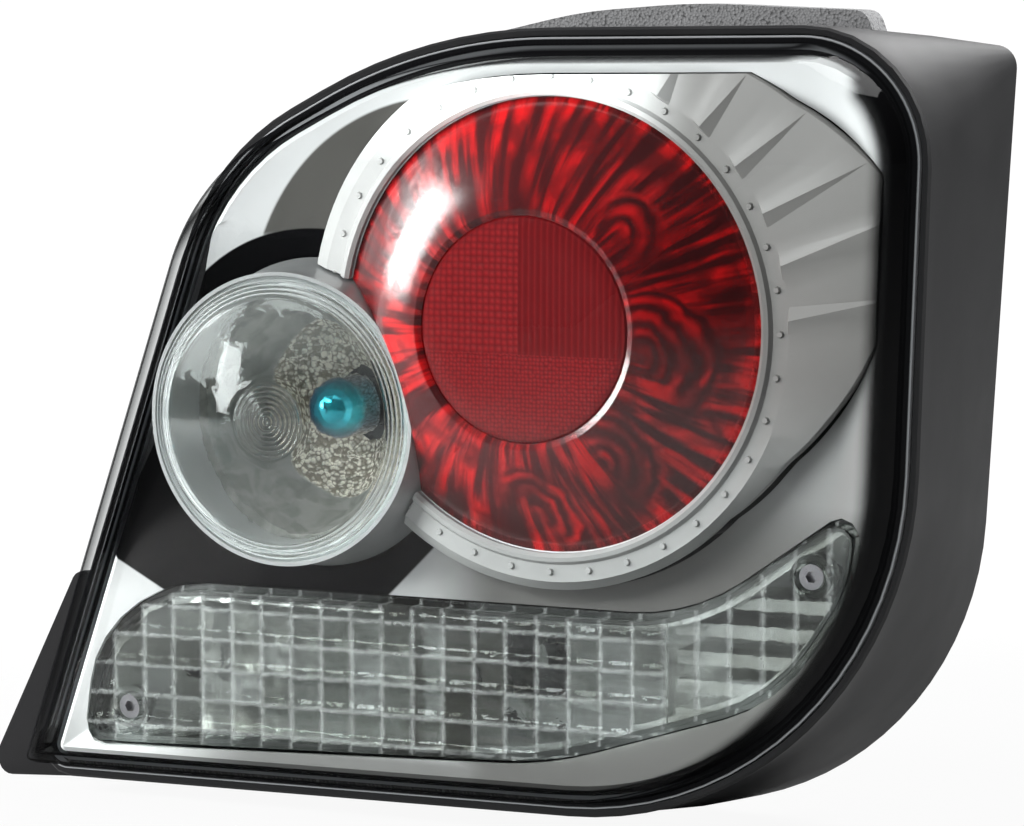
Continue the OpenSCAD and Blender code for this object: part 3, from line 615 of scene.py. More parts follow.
@dataclass(frozen=True)
class SteppedCoat:
    """Bright coating of the lower lamp's bowl, with painted light at its left end and towards its right, and
    painted shade beside the bulb.
    """

    name: str = "stepped_bowl_coat"
    # Painted light at the ends, a plainer tone between, and painted shade beside the bulb
    bright: Colour = (0.95, 0.96, 0.95)
    plain: Colour = (0.28, 0.288, 0.284)
    dull: Colour = (0.05, 0.047, 0.038)
    bulb_shade_field: Span = (-53.0, -22.0)
    bulb_shade_share: float = 0.85
    left_end: Span = (-140.0, -95.0)
    right_end: Span = (20.0, 50.0)
    right_share: float = 0.6
    metal: float = 0.8
    least_roughness: float = 0.16

    def build(self) -> Material:
        """Builds the finish.

        Returns:
            The finished material.
        """
        g = Graph(self.name)
        p = g.place()
        x = g.split(p)[0]
        cloud = g.noise(p, 9.0, 3.0, 0.6)
        # Painted light at the left end and towards the right, and painted shade beside the bulb
        start, end = self.bulb_shade_field
        inside = g.times(g.fade(x, start - 1.0, start + 1.0), g.fade(x, end + 1.0, end - 1.0))
        base = g.tint(g.fade(x, *self.left_end), self.bright, self.plain)
        base = g.tint(g.times(g.fade(x, *self.right_end), self.right_share), base, self.bright)
        base = g.tint(g.times(inside, self.bulb_shade_share), base, self.dull)
        rough = g.calc("ADD", g.times(cloud, 0.1), self.least_roughness)
        normal = g.bump(g.noise(p, 0.6, 2.0), 0.006, g.bump(cloud, 0.12))
        return g.done(g.surface(Base_Color=base, Metallic=self.metal, Roughness=rough, Normal=normal))


@dataclass(frozen=True)
class PebbledCoat:
    """Bright coating of the small lamp's bowl, pebbled round the bulb and plain on the outer wall."""

    name: str = "pebbled_coat"
    wall: Colour = (0.28, 0.276, 0.256)
    wall_shade: float = 0.55
    bright: Colour = (0.95, 0.88, 0.76)
    dark: Colour = (0.22, 0.18, 0.13)
    pebble: float = 1.5
    relief: float = 0.7
    field: float = 31.0
    wall_fade: Span = (0.35, 0.7)
    pebble_fade: Span = (0.25, 0.7)

    def build(self) -> Material:
        """Builds the finish.

        Returns:
            The finished material.
        """
        g = Graph(self.name)
        p = g.place((INDICATOR[0], 0.0, INDICATOR[1]))
        x, _, z = g.split(p)
        inner = g.fade(g.reach(x, z), self.field, self.field - 1.0)
        cells = g.cells(p, self.pebble)
        cloud = g.noise(p, 8.0, 2.0, 0.6)
        normal = g.bump(g.times(cells, inner), self.relief, g.bump(cloud, 0.35))
        wall = g.tint(g.fade(cloud, *self.wall_fade), self.wall, shaded(self.wall, self.wall_shade))
        field = g.tint(g.fade(cells, *self.pebble_fade), self.bright, self.dark)
        base = g.tint(inner, wall, field)
        return g.done(g.surface(Base_Color=base, Metallic=0.4, Roughness=0.42, Normal=normal))


@dataclass(frozen=True)
class RedPlastic:
    """Red transparent plastic of the domed lens, with painted reflections of the fluted bowl behind it, as
    streaks and arcs.
    """

    name: str = "red_dome_plastic"
    # Colours of the painted reflections, light and dark, in the clear and the solid parts
    bright: Colour = (0.95, 0.085, 0.1)
    dark: Colour = (0.16, 0.03, 0.034)
    body: Colour = (0.09, 0.004, 0.006)
    glow: Colour = (0.6, 0.006, 0.01)
    shadow: Colour = (0.85, 0.09, 0.1)
    solid: float = 0.34
    polish: float = 0.23
    bend: float = 1.45
    streak: float = 4.0
    streak_fade: Span = (0.4, 0.62)
    around: float = 60.0
    outward: float = 0.14
    pitch: float = 5.0
    warp: float = 8.0
    arc_way: Span = (0.8, 0.6)
    arc_fade: Span = (-3.0, 4.0)
    arcs: tuple[Triple, ...] = (
        (40.0, -8.0, 22.0),
        (26.0, -40.0, 18.0),
        (0.0, -58.0, 16.0),
        (32.0, 30.0, 13.0),
    )
    least: float = 0.3
    patch_fade: Span = (0.38, 0.58)

    def painted_flute_reflections(self, g: Graph) -> NodeSocket:
        """Painted reflections of the bowl's fluting, light and dark, as rays from the disc with bent arcs at
        the right and below.

        Args:
            g: Graph that the nodes go into.

        Returns:
            The level socket.
        """
        p = g.place((TAIL[0], 0.0, TAIL[1]))
        x, _, z = g.split(p)
        angle = g.times(g.calc("ARCTAN2", z, x), self.around)
        rays = g.add("ShaderNodeCombineXYZ", {0: angle, 2: g.times(g.reach(x, z), self.outward)})
        level = g.fade(g.noise(rays.outputs[0], self.streak, 2.0, 0.2), *self.streak_fade)
        bent = g.times(g.noise(p, 14.0, 2.0, 0.6), self.warp)
        for across, up, size in self.arcs:
            dx, dz = g.less(x, across), g.less(z, up)
            far = g.calc("ADD", g.reach(dx, dz), bent)
            wave = g.calc("SINE", g.times(far, 2 * math.pi / self.pitch))
            wave = g.calc("ADD", 0.5, g.times(wave, 0.5))
            side = g.fade(g.along(dx, dz, self.arc_way), *self.arc_fade)
            there = g.times(g.fade(far, size + 5.0, size + 1.0), side)
            level = g.calc("ADD", g.times(level, g.less(1.0, there)), g.times(wave, there))
        patch = g.times(g.fade(g.noise(p, 20.0, 2.0, 0.8), *self.patch_fade), 1.0 - self.least)
        return g.times(level, g.calc("ADD", self.least, patch))

    def build(self) -> Material:
        """Builds the finish.

        Returns:
            The finished material.
        """
        g = Graph(self.name)
        wave = g.bump(g.noise(g.place(), 30.0, 2.0, 1.0), 0.4)
        level = self.painted_flute_reflections(g)
        clear = g.clear(g.tint(level, self.dark, self.bright))
        glow = g.tint(level, self.body, self.glow)
        solid = g.surface(Base_Color=glow, Roughness=0.3, Specular_IOR_Level=0.0)
        body = g.blend(self.solid, clear, solid)
        dome = g.blend(g.shine(self.bend), body, g.gloss(self.polish, wave))
        return g.done(g.let_light_in(dome, self.shadow))


@dataclass(frozen=True)
class PrismDisc:
    """Red reflex disc, its back cut in blocks of fine prisms that lie in different directions."""

    name: str = "red_prism_disc"
    lit: Colour = (0.23, 0.011, 0.013)
    unlit: Colour = (0.04, 0.002, 0.003)
    block: Colour = (0.1, 0.002, 0.003)
    block_share: float = 0.3
    pitch: float = 2.1
    fine: float = 0.62
    upright: Span = (-1.8, -1.2)
    level: Span = (-8.0, -7.4)

    def build(self) -> Material:
        """Builds the finish.

        Returns:
            The finished material.
        """
        g = Graph(self.name)
        p = g.place((TAIL[0], 0.0, TAIL[1]))
        x, _, z = g.split(p)
        right = g.fade(x, *self.upright)
        upper = g.fade(z, *self.level)
        dots = g.cells(p, self.pitch, 0.15)
        small = g.cells(p, self.pitch * self.fine, 0.3)
        lines = g.calc("ADD", 0.3, g.times(g.waves(x, self.pitch), 0.4))
        above = g.calc("ADD", g.times(lines, right), g.times(dots, g.less(1.0, right)))
        height = g.calc("ADD", g.times(above, upper), g.times(small, g.less(1.0, upper)))
        # Painted light and shade: the prism pattern lit and unlit, and the upper right block darker
        base = g.tint(height, self.lit, self.unlit)
        base = g.tint(g.times(g.times(right, upper), self.block_share), base, self.block)
        return g.done(
            g.surface(
                Base_Color=base,
                Roughness=0.35,
                Specular_IOR_Level=0.15,
                Normal=g.bump(height, 0.2),
                Coat_Weight=0.15,
                Coat_Roughness=0.06,
            )
        )


@dataclass(frozen=True)
class CapOptic:
    """Clear plastic of the small lamp's cap, with matt grooves between its turned rings, painted shade in
    those of the middle and painted highlights in those of the border.
    """

    name: str = "cap_optic"
    tint: Colour = (0.97, 0.985, 0.98)
    upper_grey: Colour = (0.6, 0.62, 0.61)
    upper_grey_fade: Span = (6.0, 30.0)
    upper_grey_share: float = 0.05
    groove: Span = (0.55, 0.15)
    bend: float = 1.4
    middle: Span = (13.0, 1.6)
    # Painted shade in the middle grooves
    middle_shade: Colour = (0.07, 0.07, 0.065)
    middle_share: float = 0.45
    border: Span = (39.0, 1.3)
    # Painted highlight in the border grooves
    border_highlight: Colour = (0.62, 0.64, 0.64)
    border_share: float = 0.4

    def build(self) -> Material:
        """Builds the finish.

        Returns:
            The finished material.
        """
        g = Graph(self.name)
        x, _, z = g.split(g.place((INDICATOR[0], 0.0, INDICATOR[1])))
        reach = g.reach(x, z)
        wave = g.bump(g.noise(g.place(), 9.0, 2.0, 0.8), 0.12)
        glass = g.glass(self.tint, 0.02, self.bend, wave)
        # A little matt grey blended in, more towards the top
        body = g.blend(g.times(g.fade(z, *self.upper_grey_fade), self.upper_grey_share), glass, g.matt(self.upper_grey))
        # Painted shade in the middle grooves and painted highlights in the border grooves
        for (at, pitch), inward, share, colour in (
            (self.middle, 1.0, self.middle_share, self.middle_shade),
            (self.border, -1.0, self.border_share, self.border_highlight),
        ):
            line = g.times(g.fade(g.waves(reach, pitch), *self.groove), g.fade(reach, at, at - inward))
            dull = g.surface(Base_Color=colour, Roughness=0.3, Specular_IOR_Level=0.3)
            body = g.blend(g.times(line, share), body, dull)
        return g.done(g.let_light_in(body, self.tint))


@dataclass(frozen=True)
class PillowOptic:
    """Clear plastic of the lower lamp's lens, with painted highlights along the edges of its pillows."""

    name: str = "pillow_optic"
    tint: Colour = (0.96, 0.975, 0.97)
    dim: Colour = (0.7, 0.71, 0.69)
    # Painted highlight along the pillow edges, broken up by noise
    edge_highlight: Colour = (0.5, 0.52, 0.51)
    edge_highlight_share: float = 0.34
    bend: float = 1.46
    start: Span = (-170.0, -140.0)
    pitch: Span = (11.0, 10.0)
    plain_from: float = 50.0
    valley: Span = (0.3, 0.06)
    broken_up: Span = (0.3, 0.62)

    def build(self) -> Material:
        """Builds the finish.

        Returns:
            The finished material.
        """
        g = Graph(self.name)
        p = g.place()
        x, _, z = g.split(p)
        lines, cells = [], []
        for place, start, pitch in zip((x, z), self.start, self.pitch):
            offset = g.less(place, start)
            lines.append(g.fade(g.waves(offset, pitch), *self.valley))
            cells.append(g.calc("FLOOR", g.calc("DIVIDE", offset, pitch)))
        across = g.times(lines[1], g.fade(x, self.plain_from + 1.0, self.plain_from))
        grain = g.fade(g.noise(p, 1.6, 3.0, 1.0), *self.broken_up)
        line = g.times(g.calc("MAXIMUM", lines[0], across), grain)
        wave = g.bump(g.noise(p, 3.5, 2.0, 0.8), 0.1)
        cell = g.add("ShaderNodeCombineXYZ", {0: cells[0], 2: cells[1]}).outputs[0]
        level = g.add("ShaderNodeTexWhiteNoise", {"Vector": cell}).outputs["Value"]
        glass = g.glass(g.tint(level, self.dim, self.tint), 0.0, self.bend, wave)
        # Painted highlight along the pillow edges
        edge_highlight = g.surface(Base_Color=self.edge_highlight, Roughness=0.25, Normal=wave)
        body = g.blend(g.times(line, self.edge_highlight_share), glass, edge_highlight)
        return g.done(g.let_light_in(body, self.tint))


@dataclass(frozen=True)
class CoatedBulb:
    """Blown glass with a bright coloured coat."""

    name: str
    colour: Colour
    edge: Colour
    metal: float = 0.85

    def build(self) -> Material:
        """Builds the finish.

        Returns:
            The finished material.
        """
        g = Graph(self.name)
        facing = g.add("ShaderNodeLayerWeight", {"Blend": 0.45}).outputs["Facing"]
        cloud = g.noise(g.place(), 7.0, 2.0, 0.5)
        return g.done(
            g.surface(
                Base_Color=g.tint(g.fade(facing, 0.15, 0.85), self.colour, self.edge),
                Metallic=self.metal,
                Roughness=g.calc("ADD", 0.1, g.times(cloud, 0.1)),
                Coat_Weight=1.0,
                Coat_Roughness=0.04,
            )
        )


@dataclass(frozen=True)
class Foam:
    """Closed-cell foam with an open cut face."""

    name: str = "cut_foam"
    colour: Colour = (0.13, 0.131, 0.133)
    lift: float = 1.6
    pore_shade: float = 0.45

    def build(self) -> Material:
        """Builds the finish.

        Returns:
            The finished material.
        """
        g = Graph(self.name)
        p = g.place()
        pores = g.cells(p, 0.9)
        cloud = g.noise(p, 14.0, 3.0)
        base = g.tint(cloud, self.colour, shaded(self.colour, self.lift))
        base = g.tint(g.fade(pores, 0.5, 0.9), base, shaded(self.colour, self.pore_shade))
        return g.done(g.surface(Base_Color=base, Roughness=0.92, Normal=g.bump(pores, 0.3)))


@dataclass(frozen=True)
class WorkedMetal:
    """Plated, rolled or drawn metal with fine marks along one way."""

    name: str
    colour: Colour
    roughness: float = 0.28
    cloudy: float = 0.74
    spread: float = 0.16

    def build(self) -> Material:
        """Builds the finish.

        Returns:
            The finished material.
        """
        g = Graph(self.name)
        p = g.place()
        marks = g.noise(p, 0.5, 3.0, 0.4)
        base = g.tint(g.noise(p, 5.0, 2.0), self.colour, shaded(self.colour, self.cloudy))
        rough = g.calc("ADD", g.times(marks, self.spread), self.roughness - self.spread / 2)
        return g.done(g.surface(Base_Color=base, Metallic=1.0, Roughness=rough, Normal=g.bump(marks, 0.02)))


@dataclass(frozen=True)
class ClearBulb:
    """Clear blown glass, drawn to a tip."""

    name: str = "clear_bulb_glass"
    tint: Colour = (0.96, 0.97, 0.97)
    bend: float = 1.5

    def build(self) -> Material:
        """Builds the finish.

        Returns:
            The finished material.
        """
        g = Graph(self.name)
        wave = g.bump(g.noise(g.place(), 5.0, 1.0), 0.08)
        gloss = g.add("ShaderNodeBsdfGlossy", {"Roughness": 0.02, "Normal": wave}).outputs[0]
        return g.done(g.blend(g.shine(self.bend), g.clear(self.tint), gloss))


# Meshes


def seat(piece: Object, finish: Material, nodes: Sequence[str]) -> None:
    """Gives a finished piece its material and its place in the frame.

    Args:
        piece: Finished mesh.
        finish: Its material.
        nodes: Frame nodes that it stands for.
    """
    piece.data.materials.clear()
    piece.data.materials.append(finish)
    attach(piece, BODY)
    if nodes:
        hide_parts(*nodes)
    LOG.info("%s: %d faces", piece.name, len(piece.data.polygons))


def merged_skin(node: str, name: str, edge: Edge) -> Object:
    """A merged, smooth-shaded copy of a frame node.

    Args:
        node: Name of the frame node.
        name: Name of the copy.
        edge: How sharp a turn stays an edge.

    Returns:
        The copy.
    """
    piece = bpy.data.objects.new(name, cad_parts[node].data.copy())
    bpy.context.scene.collection.objects.link(piece)
    bpy.ops.object.select_all(action="DESELECT")
    piece.select_set(True)
    bpy.context.view_layer.objects.active = piece
    bpy.ops.object.mode_set(mode="EDIT")
    bpy.ops.mesh.select_all(action="SELECT")
    bpy.ops.mesh.remove_doubles(threshold=MERGE)
    bpy.ops.mesh.dissolve_degenerate(threshold=SLIVER)
    bpy.ops.object.mode_set(mode="OBJECT")
    if piece.data.has_custom_normals:
        bpy.ops.mesh.customdata_custom_splitnormals_clear()
    bpy.ops.object.shade_smooth_by_angle(angle=math.radians(edge.value), keep_sharp_edges=False)
    return piece


def dress(node: str, name: str, edge: Edge, finish: Material) -> None:
    """Dresses a frame node in a smooth-shaded copy of its mesh.

    Args:
        node: Name of the frame node.
        name: Name of the piece.
        edge: How sharp a turn stays an edge.
        finish: Its material.
    """
    seat(merged_skin(node, name, edge), finish, [node])


@dataclass(frozen=True)
class RoundedOutline:
    """A closed outline of straight runs and round corners, in millimetres."""

    corners: tuple[Triple, ...]
    arc_steps: int = 18
    run_steps: int = 12

    def shifted(self, inset: float) -> list[tuple[Vector, float]]:
        """The corners moved inward, each with its radius kept concentric.

        Args:
            inset: How far the outline moves inward.

        Returns:
            Corner points with their radii.
        """
        points = [Vector(c[:2]) for c in self.corners]
        moved = []
        for i, (x, z, radius) in enumerate(self.corners):
            back, here, ahead = points[i - 1], points[i], points[(i + 1) % len(points)]
            first, second = (here - back).normalized(), (ahead - here).normalized()
            one, two = Vector((-first.y, first.x)), Vector((-second.y, second.x))
            turn = math.copysign(1.0, first.cross(second))
            at = here + inset * (one + two) / (1 + one.dot(two))
            moved.append((at, max(0.5, radius - inset * turn)))
        return moved

    def points(self, inset: float) -> list[Vector]:
        """The outline moved inward, with as many points at every inset.

        Args:
            inset: How far the outline moves inward.

        Returns:
            Points in order round the outline.
        """
        moved = self.shifted(inset)
        arcs = []
        for i, (at, radius) in enumerate(moved):
            one = (moved[i - 1][0] - at).normalized()
            two = (moved[(i + 1) % len(moved)][0] - at).normalized()
            half = math.acos(max(-1.0, min(1.0, one.dot(two)))) / 2
            centre = at + (one + two).normalized() * radius / math.sin(half)
            start = at + one * radius / math.tan(half) - centre
            end = at + two * radius / math.tan(half) - centre
            first = math.atan2(start.y, start.x)
            sweep = (math.atan2(end.y, end.x) - first + math.pi) % (2 * math.pi) - math.pi
            turns = [first + sweep * k / self.arc_steps for k in range(self.arc_steps + 1)]
            arcs.append([centre + radius * Vector((math.cos(a), math.sin(a))) for a in turns])
        line = []
        for i, arc in enumerate(arcs):
            line += arc
            ahead = arcs[(i + 1) % len(arcs)][0]
            line += [arc[-1].lerp(ahead, k / self.run_steps) for k in range(1, self.run_steps)]
        return line


def lofted(name: str, rings: Sequence[Sequence[Vector]]) -> Object:
    """A closed, smooth-shaded skin extruded from ring to ring, with both end rings drawn to a point.

    Args:
        name: Name of the piece.
        rings: Points of each ring in metres, as many in each.

    Returns:
        The new piece.
    """
    bpy.ops.object.select_all(action="DESELECT")
    bpy.ops.mesh.primitive_circle_add(vertices=len(rings[0]), radius=0.1)
    piece = bpy.context.object
    piece.name = name
    bpy.ops.object.mode_set(mode="EDIT")
    mesh = bmesh.from_edit_mesh(piece.data)
    mesh.verts.ensure_lookup_table()
    for vert, point in zip(mesh.verts, rings[0]):
        vert.co = point
    for before, after in zip(rings, rings[1:]):
        bmesh.update_edit_mesh(piece.data)
        bpy.ops.mesh.extrude_region_move()
        mesh = bmesh.from_edit_mesh(piece.data)
        places = {tuple(round(c, 7) for c in Vector(p)): k for k, p in enumerate(before)}
        for vert in (v for v in mesh.verts if v.select):
            vert.co = after[places[tuple(round(c, 7) for c in vert.co)]]
    bmesh.update_edit_mesh(piece.data)
    bpy.ops.mesh.extrude_region_move()
    bpy.ops.mesh.merge(type="CENTER")
    bpy.ops.mesh.select_mode(type="VERT")
    bpy.ops.mesh.select_all(action="DESELECT")
    bpy.ops.mesh.select_non_manifold()
    bpy.ops.mesh.extrude_region_move()
    bpy.ops.mesh.merge(type="CENTER")
    bpy.ops.mesh.select_all(action="SELECT")
    bpy.ops.mesh.normals_make_consistent(inside=False)
    bpy.ops.object.mode_set(mode="OBJECT")
    bpy.ops.object.shade_smooth_by_angle(angle=math.radians(Edge.TURNED.value), keep_sharp_edges=False)
    return piece


def turned(name: str, axis: Span, foot: float, profile: Sequence[Span], around: int = 120) -> Object:
    """A turned piece on an axis along Y, from its profile.

    Args:
        name: Name of the piece.
        axis: Place of the axis across and up, in millimetres.
        foot: Depth that the heights of the profile stand on, in millimetres.
        profile: Radius and height of each ring in millimetres.
        around: Number of points round a ring.

    Returns:
        The new piece.
    """
    turns = [2 * math.pi * k / around for k in range(around)]
    rings = []
    for radius, height in profile:
        sides = [(axis[0] + radius * math.cos(a), axis[1] + radius * math.sin(a)) for a in turns]
        rings.append([Vector((x * MM, (foot - height) * MM, z * MM)) for x, z in sides])
    return lofted(name, rings)


def stood(name: str, data: Camera | Light, way: Span, aim: Vector, distance: float) -> Object:
    """Adds a camera or lamp that looks at a point.

    Args:
        name: Name of the object.
        data: Its camera or lamp data.
        way: Azimuth and elevation of its place, in degrees.
        aim: Point that it looks at, in metres.
        distance: How far from that point it stands, in metres.

    Returns:
        The new object.
    """
    a, e = (math.radians(angle) for angle in way)
    out = Vector((math.sin(a) * math.cos(e), -math.cos(a) * math.cos(e), math.sin(e)))
    obj = bpy.data.objects.new(name, data)
    obj.location = aim + out * distance
    obj.rotation_euler = out.to_track_quat("Z", "Y").to_euler()
    bpy.context.scene.collection.objects.link(obj)
    return obj


# Sub-assemblies


@dataclass(frozen=True)
class Housing:
    """The black moulded tub with its seals, studs and breather."""

    def build(self) -> None:
        """Makes and dresses the pieces of the housing."""
        black = MouldedPlastic("black_moulding", (0.009, 0.009, 0.0095), 0.5, 0.6, 0.03).build()
        foam = Foam().build()
        sealant = MouldedPlastic("cured_sealant", (0.012, 0.012, 0.012), 0.6, 1.4, 0.12).build()
        plated = WorkedMetal("plated_steel", (0.6, 0.6, 0.58)).build()
        for node, name, finish, slot in (
            ("housing", "housing_tub", black, "black_plastic"),
            ("vent_cap", "breather_cap", black, "black_plastic"),
            ("upper_foam_seal", "upper_foam_strip", foam, "foam_rubber"),
            ("body_gasket", "body_foam_ring", foam, "foam_rubber"),
            ("lens_sealant", "sealant_bead", sealant, "sealant"),
            ("mounting_studs", "plated_studs", plated, "screw_steel"),
        ):
            dress(node, name, Edge.MOULDED, finish)


@dataclass(frozen=True)
class Cover:
    """The clear crowned cover over the whole front."""

    edge: tuple[Triple, ...] = (
        (-179.5, -127.5, 8.0),
        (125.5, -124.0, 115.0),
        (133.6, 119.0, 38.0),
        (-33.4, 116.3, 175.0),
        (-109.8, 76.0, 80.0),
    )
    middle: Span = (4.0, 2.0)
    seam: float = -74.5
    leg: float = -69.5
    height: float = 36.0
    crown: float = 5.0
    wall: float = 2.5
    crown_rings: int = 14
    brow: float = 36.0
    step: float = 1.4
    inner_leg: tuple[Span, ...] = ((3.0, 8.0), (2.0, 2.0))
    outer_leg: tuple[Span, ...] = ((2.0, 2.2), (3.0, 8.0))
    shoulder: tuple[Span, ...] = (
        (30.0, 0.45),
        (25.0, 1.0),
        (21.0, 1.7),
        (17.0, 2.8),
        (13.5, 4.3),
        (10.5, 6.3),
        (8.2, 8.8),
        (6.3, 12.0),
        (5.0, 16.0),
    )

    def ring(self, inset: float, y: float, share: float = 1.0) -> list[Vector]:
        """One ring of the cover in metres.

        Args:
            inset: How far it lies inside the edge.
            y: Its depth in millimetres.
            share: Its reach from the middle, where 1 is the whole outline.

        Returns:
            Points of the ring.
        """
        line = RoundedOutline(self.edge).points(inset)
        middle = Vector(self.middle)
        spans = [(p - middle) for p in line]
        mean = sum(s.length for s in spans) / len(spans)
        blend = (1 - share) ** 0.8
        out = []
        for span in spans:
            reach = share * (span.length * (1 - blend) + mean * blend)
            at = middle + span.normalized() * reach
            out.append(Vector((at.x * MM, y * MM, at.y * MM)))
        return out

    def face(self, inset: float, y: float) -> list[list[Vector]]:
        """The crowned face, from near its middle to its edge."""
        shares = [(k + 1) / (self.crown_rings + 1) for k in range(self.crown_rings)]
        return [self.ring(inset, y - self.crown * (1 - s * s), s) for s in shares] + [self.ring(inset, y)]

    def build(self) -> None:
        """Makes and dresses the cover."""
        w, top = self.wall, self.seam - self.height
        inner = self.face(self.brow + w, top + w)
        inner += [self.ring(inset + w, top + y + w * 0.7) for inset, y in self.shoulder]
        inner += [self.ring(inset + w, self.seam - up) for inset, up in self.inner_leg]
        inner += [self.ring(w, self.seam + 1), self.ring(w, self.leg)]
        outer = [self.ring(0, self.leg), self.ring(0, self.seam - self.step)]
        outer += [self.ring(inset, self.seam - up) for inset, up in self.outer_leg]
        outer += [self.ring(inset, top + y) for inset, y in self.shoulder[::-1]]
        outer += self.face(self.brow, top)[::-1]
        seat(lofted("clear_cover", inner + outer), ClearCover().build(), ["outer_lens"])


@dataclass(frozen=True)
class TailLamp:
    """The red tail and stop lamp with its flared surround and its bowl."""

    def build(self) -> None:
        """Makes and dresses the pieces of the red lamp."""
        bright = BrightCoat("bright_coat", (0.92, 0.93, 0.94), 0.25, 0.08, 0.3).build()
        dress("tail_surround", "flared_surround", Edge.BOXED, FlaredCoat().build())
        dress("tail_lens", "red_dome", Edge.TURNED, RedPlastic().build())
        dress("reflex_reflector", "reflex_disc", Edge.MOULDED, PrismDisc().build())
        dress("tail_reflector", "tail_bowl", Edge.MOULDED, bright)


@dataclass(frozen=True)
class IndicatorLamp:
    """The small round lamp in its satin tube."""

    radius: float = 45.5
    foot: float = -90.5
    dome: float = 8.0
    wall: float = 2.4
    rest: float = 2.5
    lip: float = 3.4
    step: float = 0.1
    middle: Triple = (13.0, 1.6, 0.26)
    border: Triple = (39.0, 1.3, 0.2)

    def plain(self, radius: float) -> float:
        """Height of the cap's inner face over its foot at a radius."""
        return self.dome * (1 - (radius / self.radius) ** 2) + self.rest

    def height(self, radius: float) -> float:
        """Height of the cap's front over its foot, with the turned rings.

        Args:
            radius: Distance from the lamp's axis in millimetres.

        Returns:
            The height in millimetres.
        """
        _, pitch, rise = self.middle if radius < self.middle[0] else self.border
        ringed = radius < self.middle[0] or radius > self.border[0]
        wave = rise * math.sin(math.pi * radius / pitch) ** 2 if ringed else 0.0
        return self.plain(radius) + self.wall + wave

    def cap(self) -> Object:
        """Models the turned cap, with fine steps where its rings are.

        Returns:
            The new piece.
        """
        front = [self.middle[1] / 4 * k for k in range(1, 33)]
        front += [self.middle[0] + 2.6 * k for k in range(1, 10)]
        front += [self.border[0] + self.border[1] / 4 * k for k in range(0, 18)]
        profile = [(r, self.height(r)) for r in front]
        inset = self.radius - self.rest
        profile += [(self.radius, self.lip), (self.radius, self.step), (inset, self.step), (inset, self.wall)]
        back = [(self.radius - 4.0) * k / 12 for k in range(12, 0, -1)]
        profile += [(r, self.height(r) - self.wall if r > self.middle[0] else self.plain(r)) for r in back]
        return turned("indicator_cap", INDICATOR, self.foot, profile)

    def build(self) -> None:
        """Makes and dresses the pieces of the small lamp."""
        silver = BrightCoat("tube_silver_coat", (0.5, 0.51, 0.51), 0.36, 0.04, 0.5).build()
        dress("indicator_tube", "indicator_tube_skin", Edge.TURNED, silver)
        seat(self.cap(), CapOptic().build(), ["indicator_lens"])
        dress("indicator_reflector", "indicator_bowl", Edge.TURNED, PebbledCoat().build())


@dataclass(frozen=True)
class ReverseLamp:
    """The lower lamp with its pillow lens, its stepped bowl and its two screws."""

    def build(self) -> None:
        """Makes and dresses the pieces of the lower lamp."""
        plated = WorkedMetal("screw_plating", (0.42, 0.41, 0.43), 0.3).build()
        dress("reverse_lens", "pillow_lens", Edge.OPTIC, PillowOptic().build())
        dress("reverse_reflector", "stepped_bowl", Edge.MOULDED, SteppedCoat().build())
        dress("reverse_lens_screws", "lens_screws", Edge.MOULDED, plated)


@dataclass(frozen=True)
class Trim:
    """The satin and smoked trim behind the cover."""

    def build(self) -> None:
        """Makes and dresses the trim."""
        dress("trim_bezel", "trim_panel", Edge.MOULDED, SatinTrim().build())


@dataclass(frozen=True)
class BulbSet:
    """Bulbs, caps, filaments and twist-in holders of the three lamps."""

    lamps: tuple[str, ...] = ("tail", "indicator", "reverse")
    blue_foot: float = -31.0
    radius: float = 10.0
    crown: float = 23.0

    def blue_glass(self) -> Object:
        """Models the small lamp's coated bulb, domed and drawn to a tip.

        Returns:
            The new piece.
        """
        profile = [(7.5, 0.1), (9.0, 3.0), (9.7, 5.5), (self.radius, 8.0), (self.radius, 15.5)]
        for k in range(22):
            turn = math.radians(4.0 * k)
            profile.append((self.radius * math.cos(turn), self.crown + self.radius * math.sin(turn)))
        profile += [(0.85, 33.2), (0.7, 34.0)]
        return turned("indicator_bulb_glass_skin", INDICATOR, self.blue_foot, profile, 64)

    def build(self) -> None:
        """Makes and dresses the pieces of each bulb and holder."""
        clear = ClearBulb().build()
        blue = CoatedBulb("blue_bulb_coat", (0.004, 0.34, 0.43), (0.015, 0.05, 0.2)).build()
        wire = WorkedMetal("drawn_wire", (0.5, 0.48, 0.44), 0.35).build()
        brass = WorkedMetal("rolled_brass", (0.72, 0.52, 0.2)).build()
        shell = MouldedPlastic("holder_moulding", (0.03, 0.03, 0.032), 0.5, 0.4, 0.03).build()
        black = MouldedPlastic("bulb_cap_moulding", (0.02, 0.02, 0.021), 0.45, 0.4, 0.03).build()
        rubber = MouldedPlastic("seal_rubber", (0.022, 0.022, 0.023), 0.7, 0.8, 0.05).build()
        for lamp in self.lamps:
            coat, slot = (blue, "blue_glass") if lamp == "indicator" else (clear, "bulb_glass")
            parts = (
                ("bulb_glass", coat, slot, Edge.TURNED),
                ("bulb_cap", black, "black_plastic", Edge.MOULDED),
                ("bulb_filament", wire, "filament_wire", Edge.TURNED),
                ("bulb_holder", shell, "holder_plastic", Edge.MOULDED),
                ("holder_seal", rubber, "foam_rubber", Edge.MOULDED),
                ("holder_terminals", brass, "terminal_brass", Edge.MOULDED),
            )
            for part, finish, name, edge in parts:
                node = f"{lamp}_{part}"
                if finish is blue:
                    seat(self.blue_glass(), finish, [node])
                else:
                    dress(node, f"{node}_skin", edge, finish)


# Studio


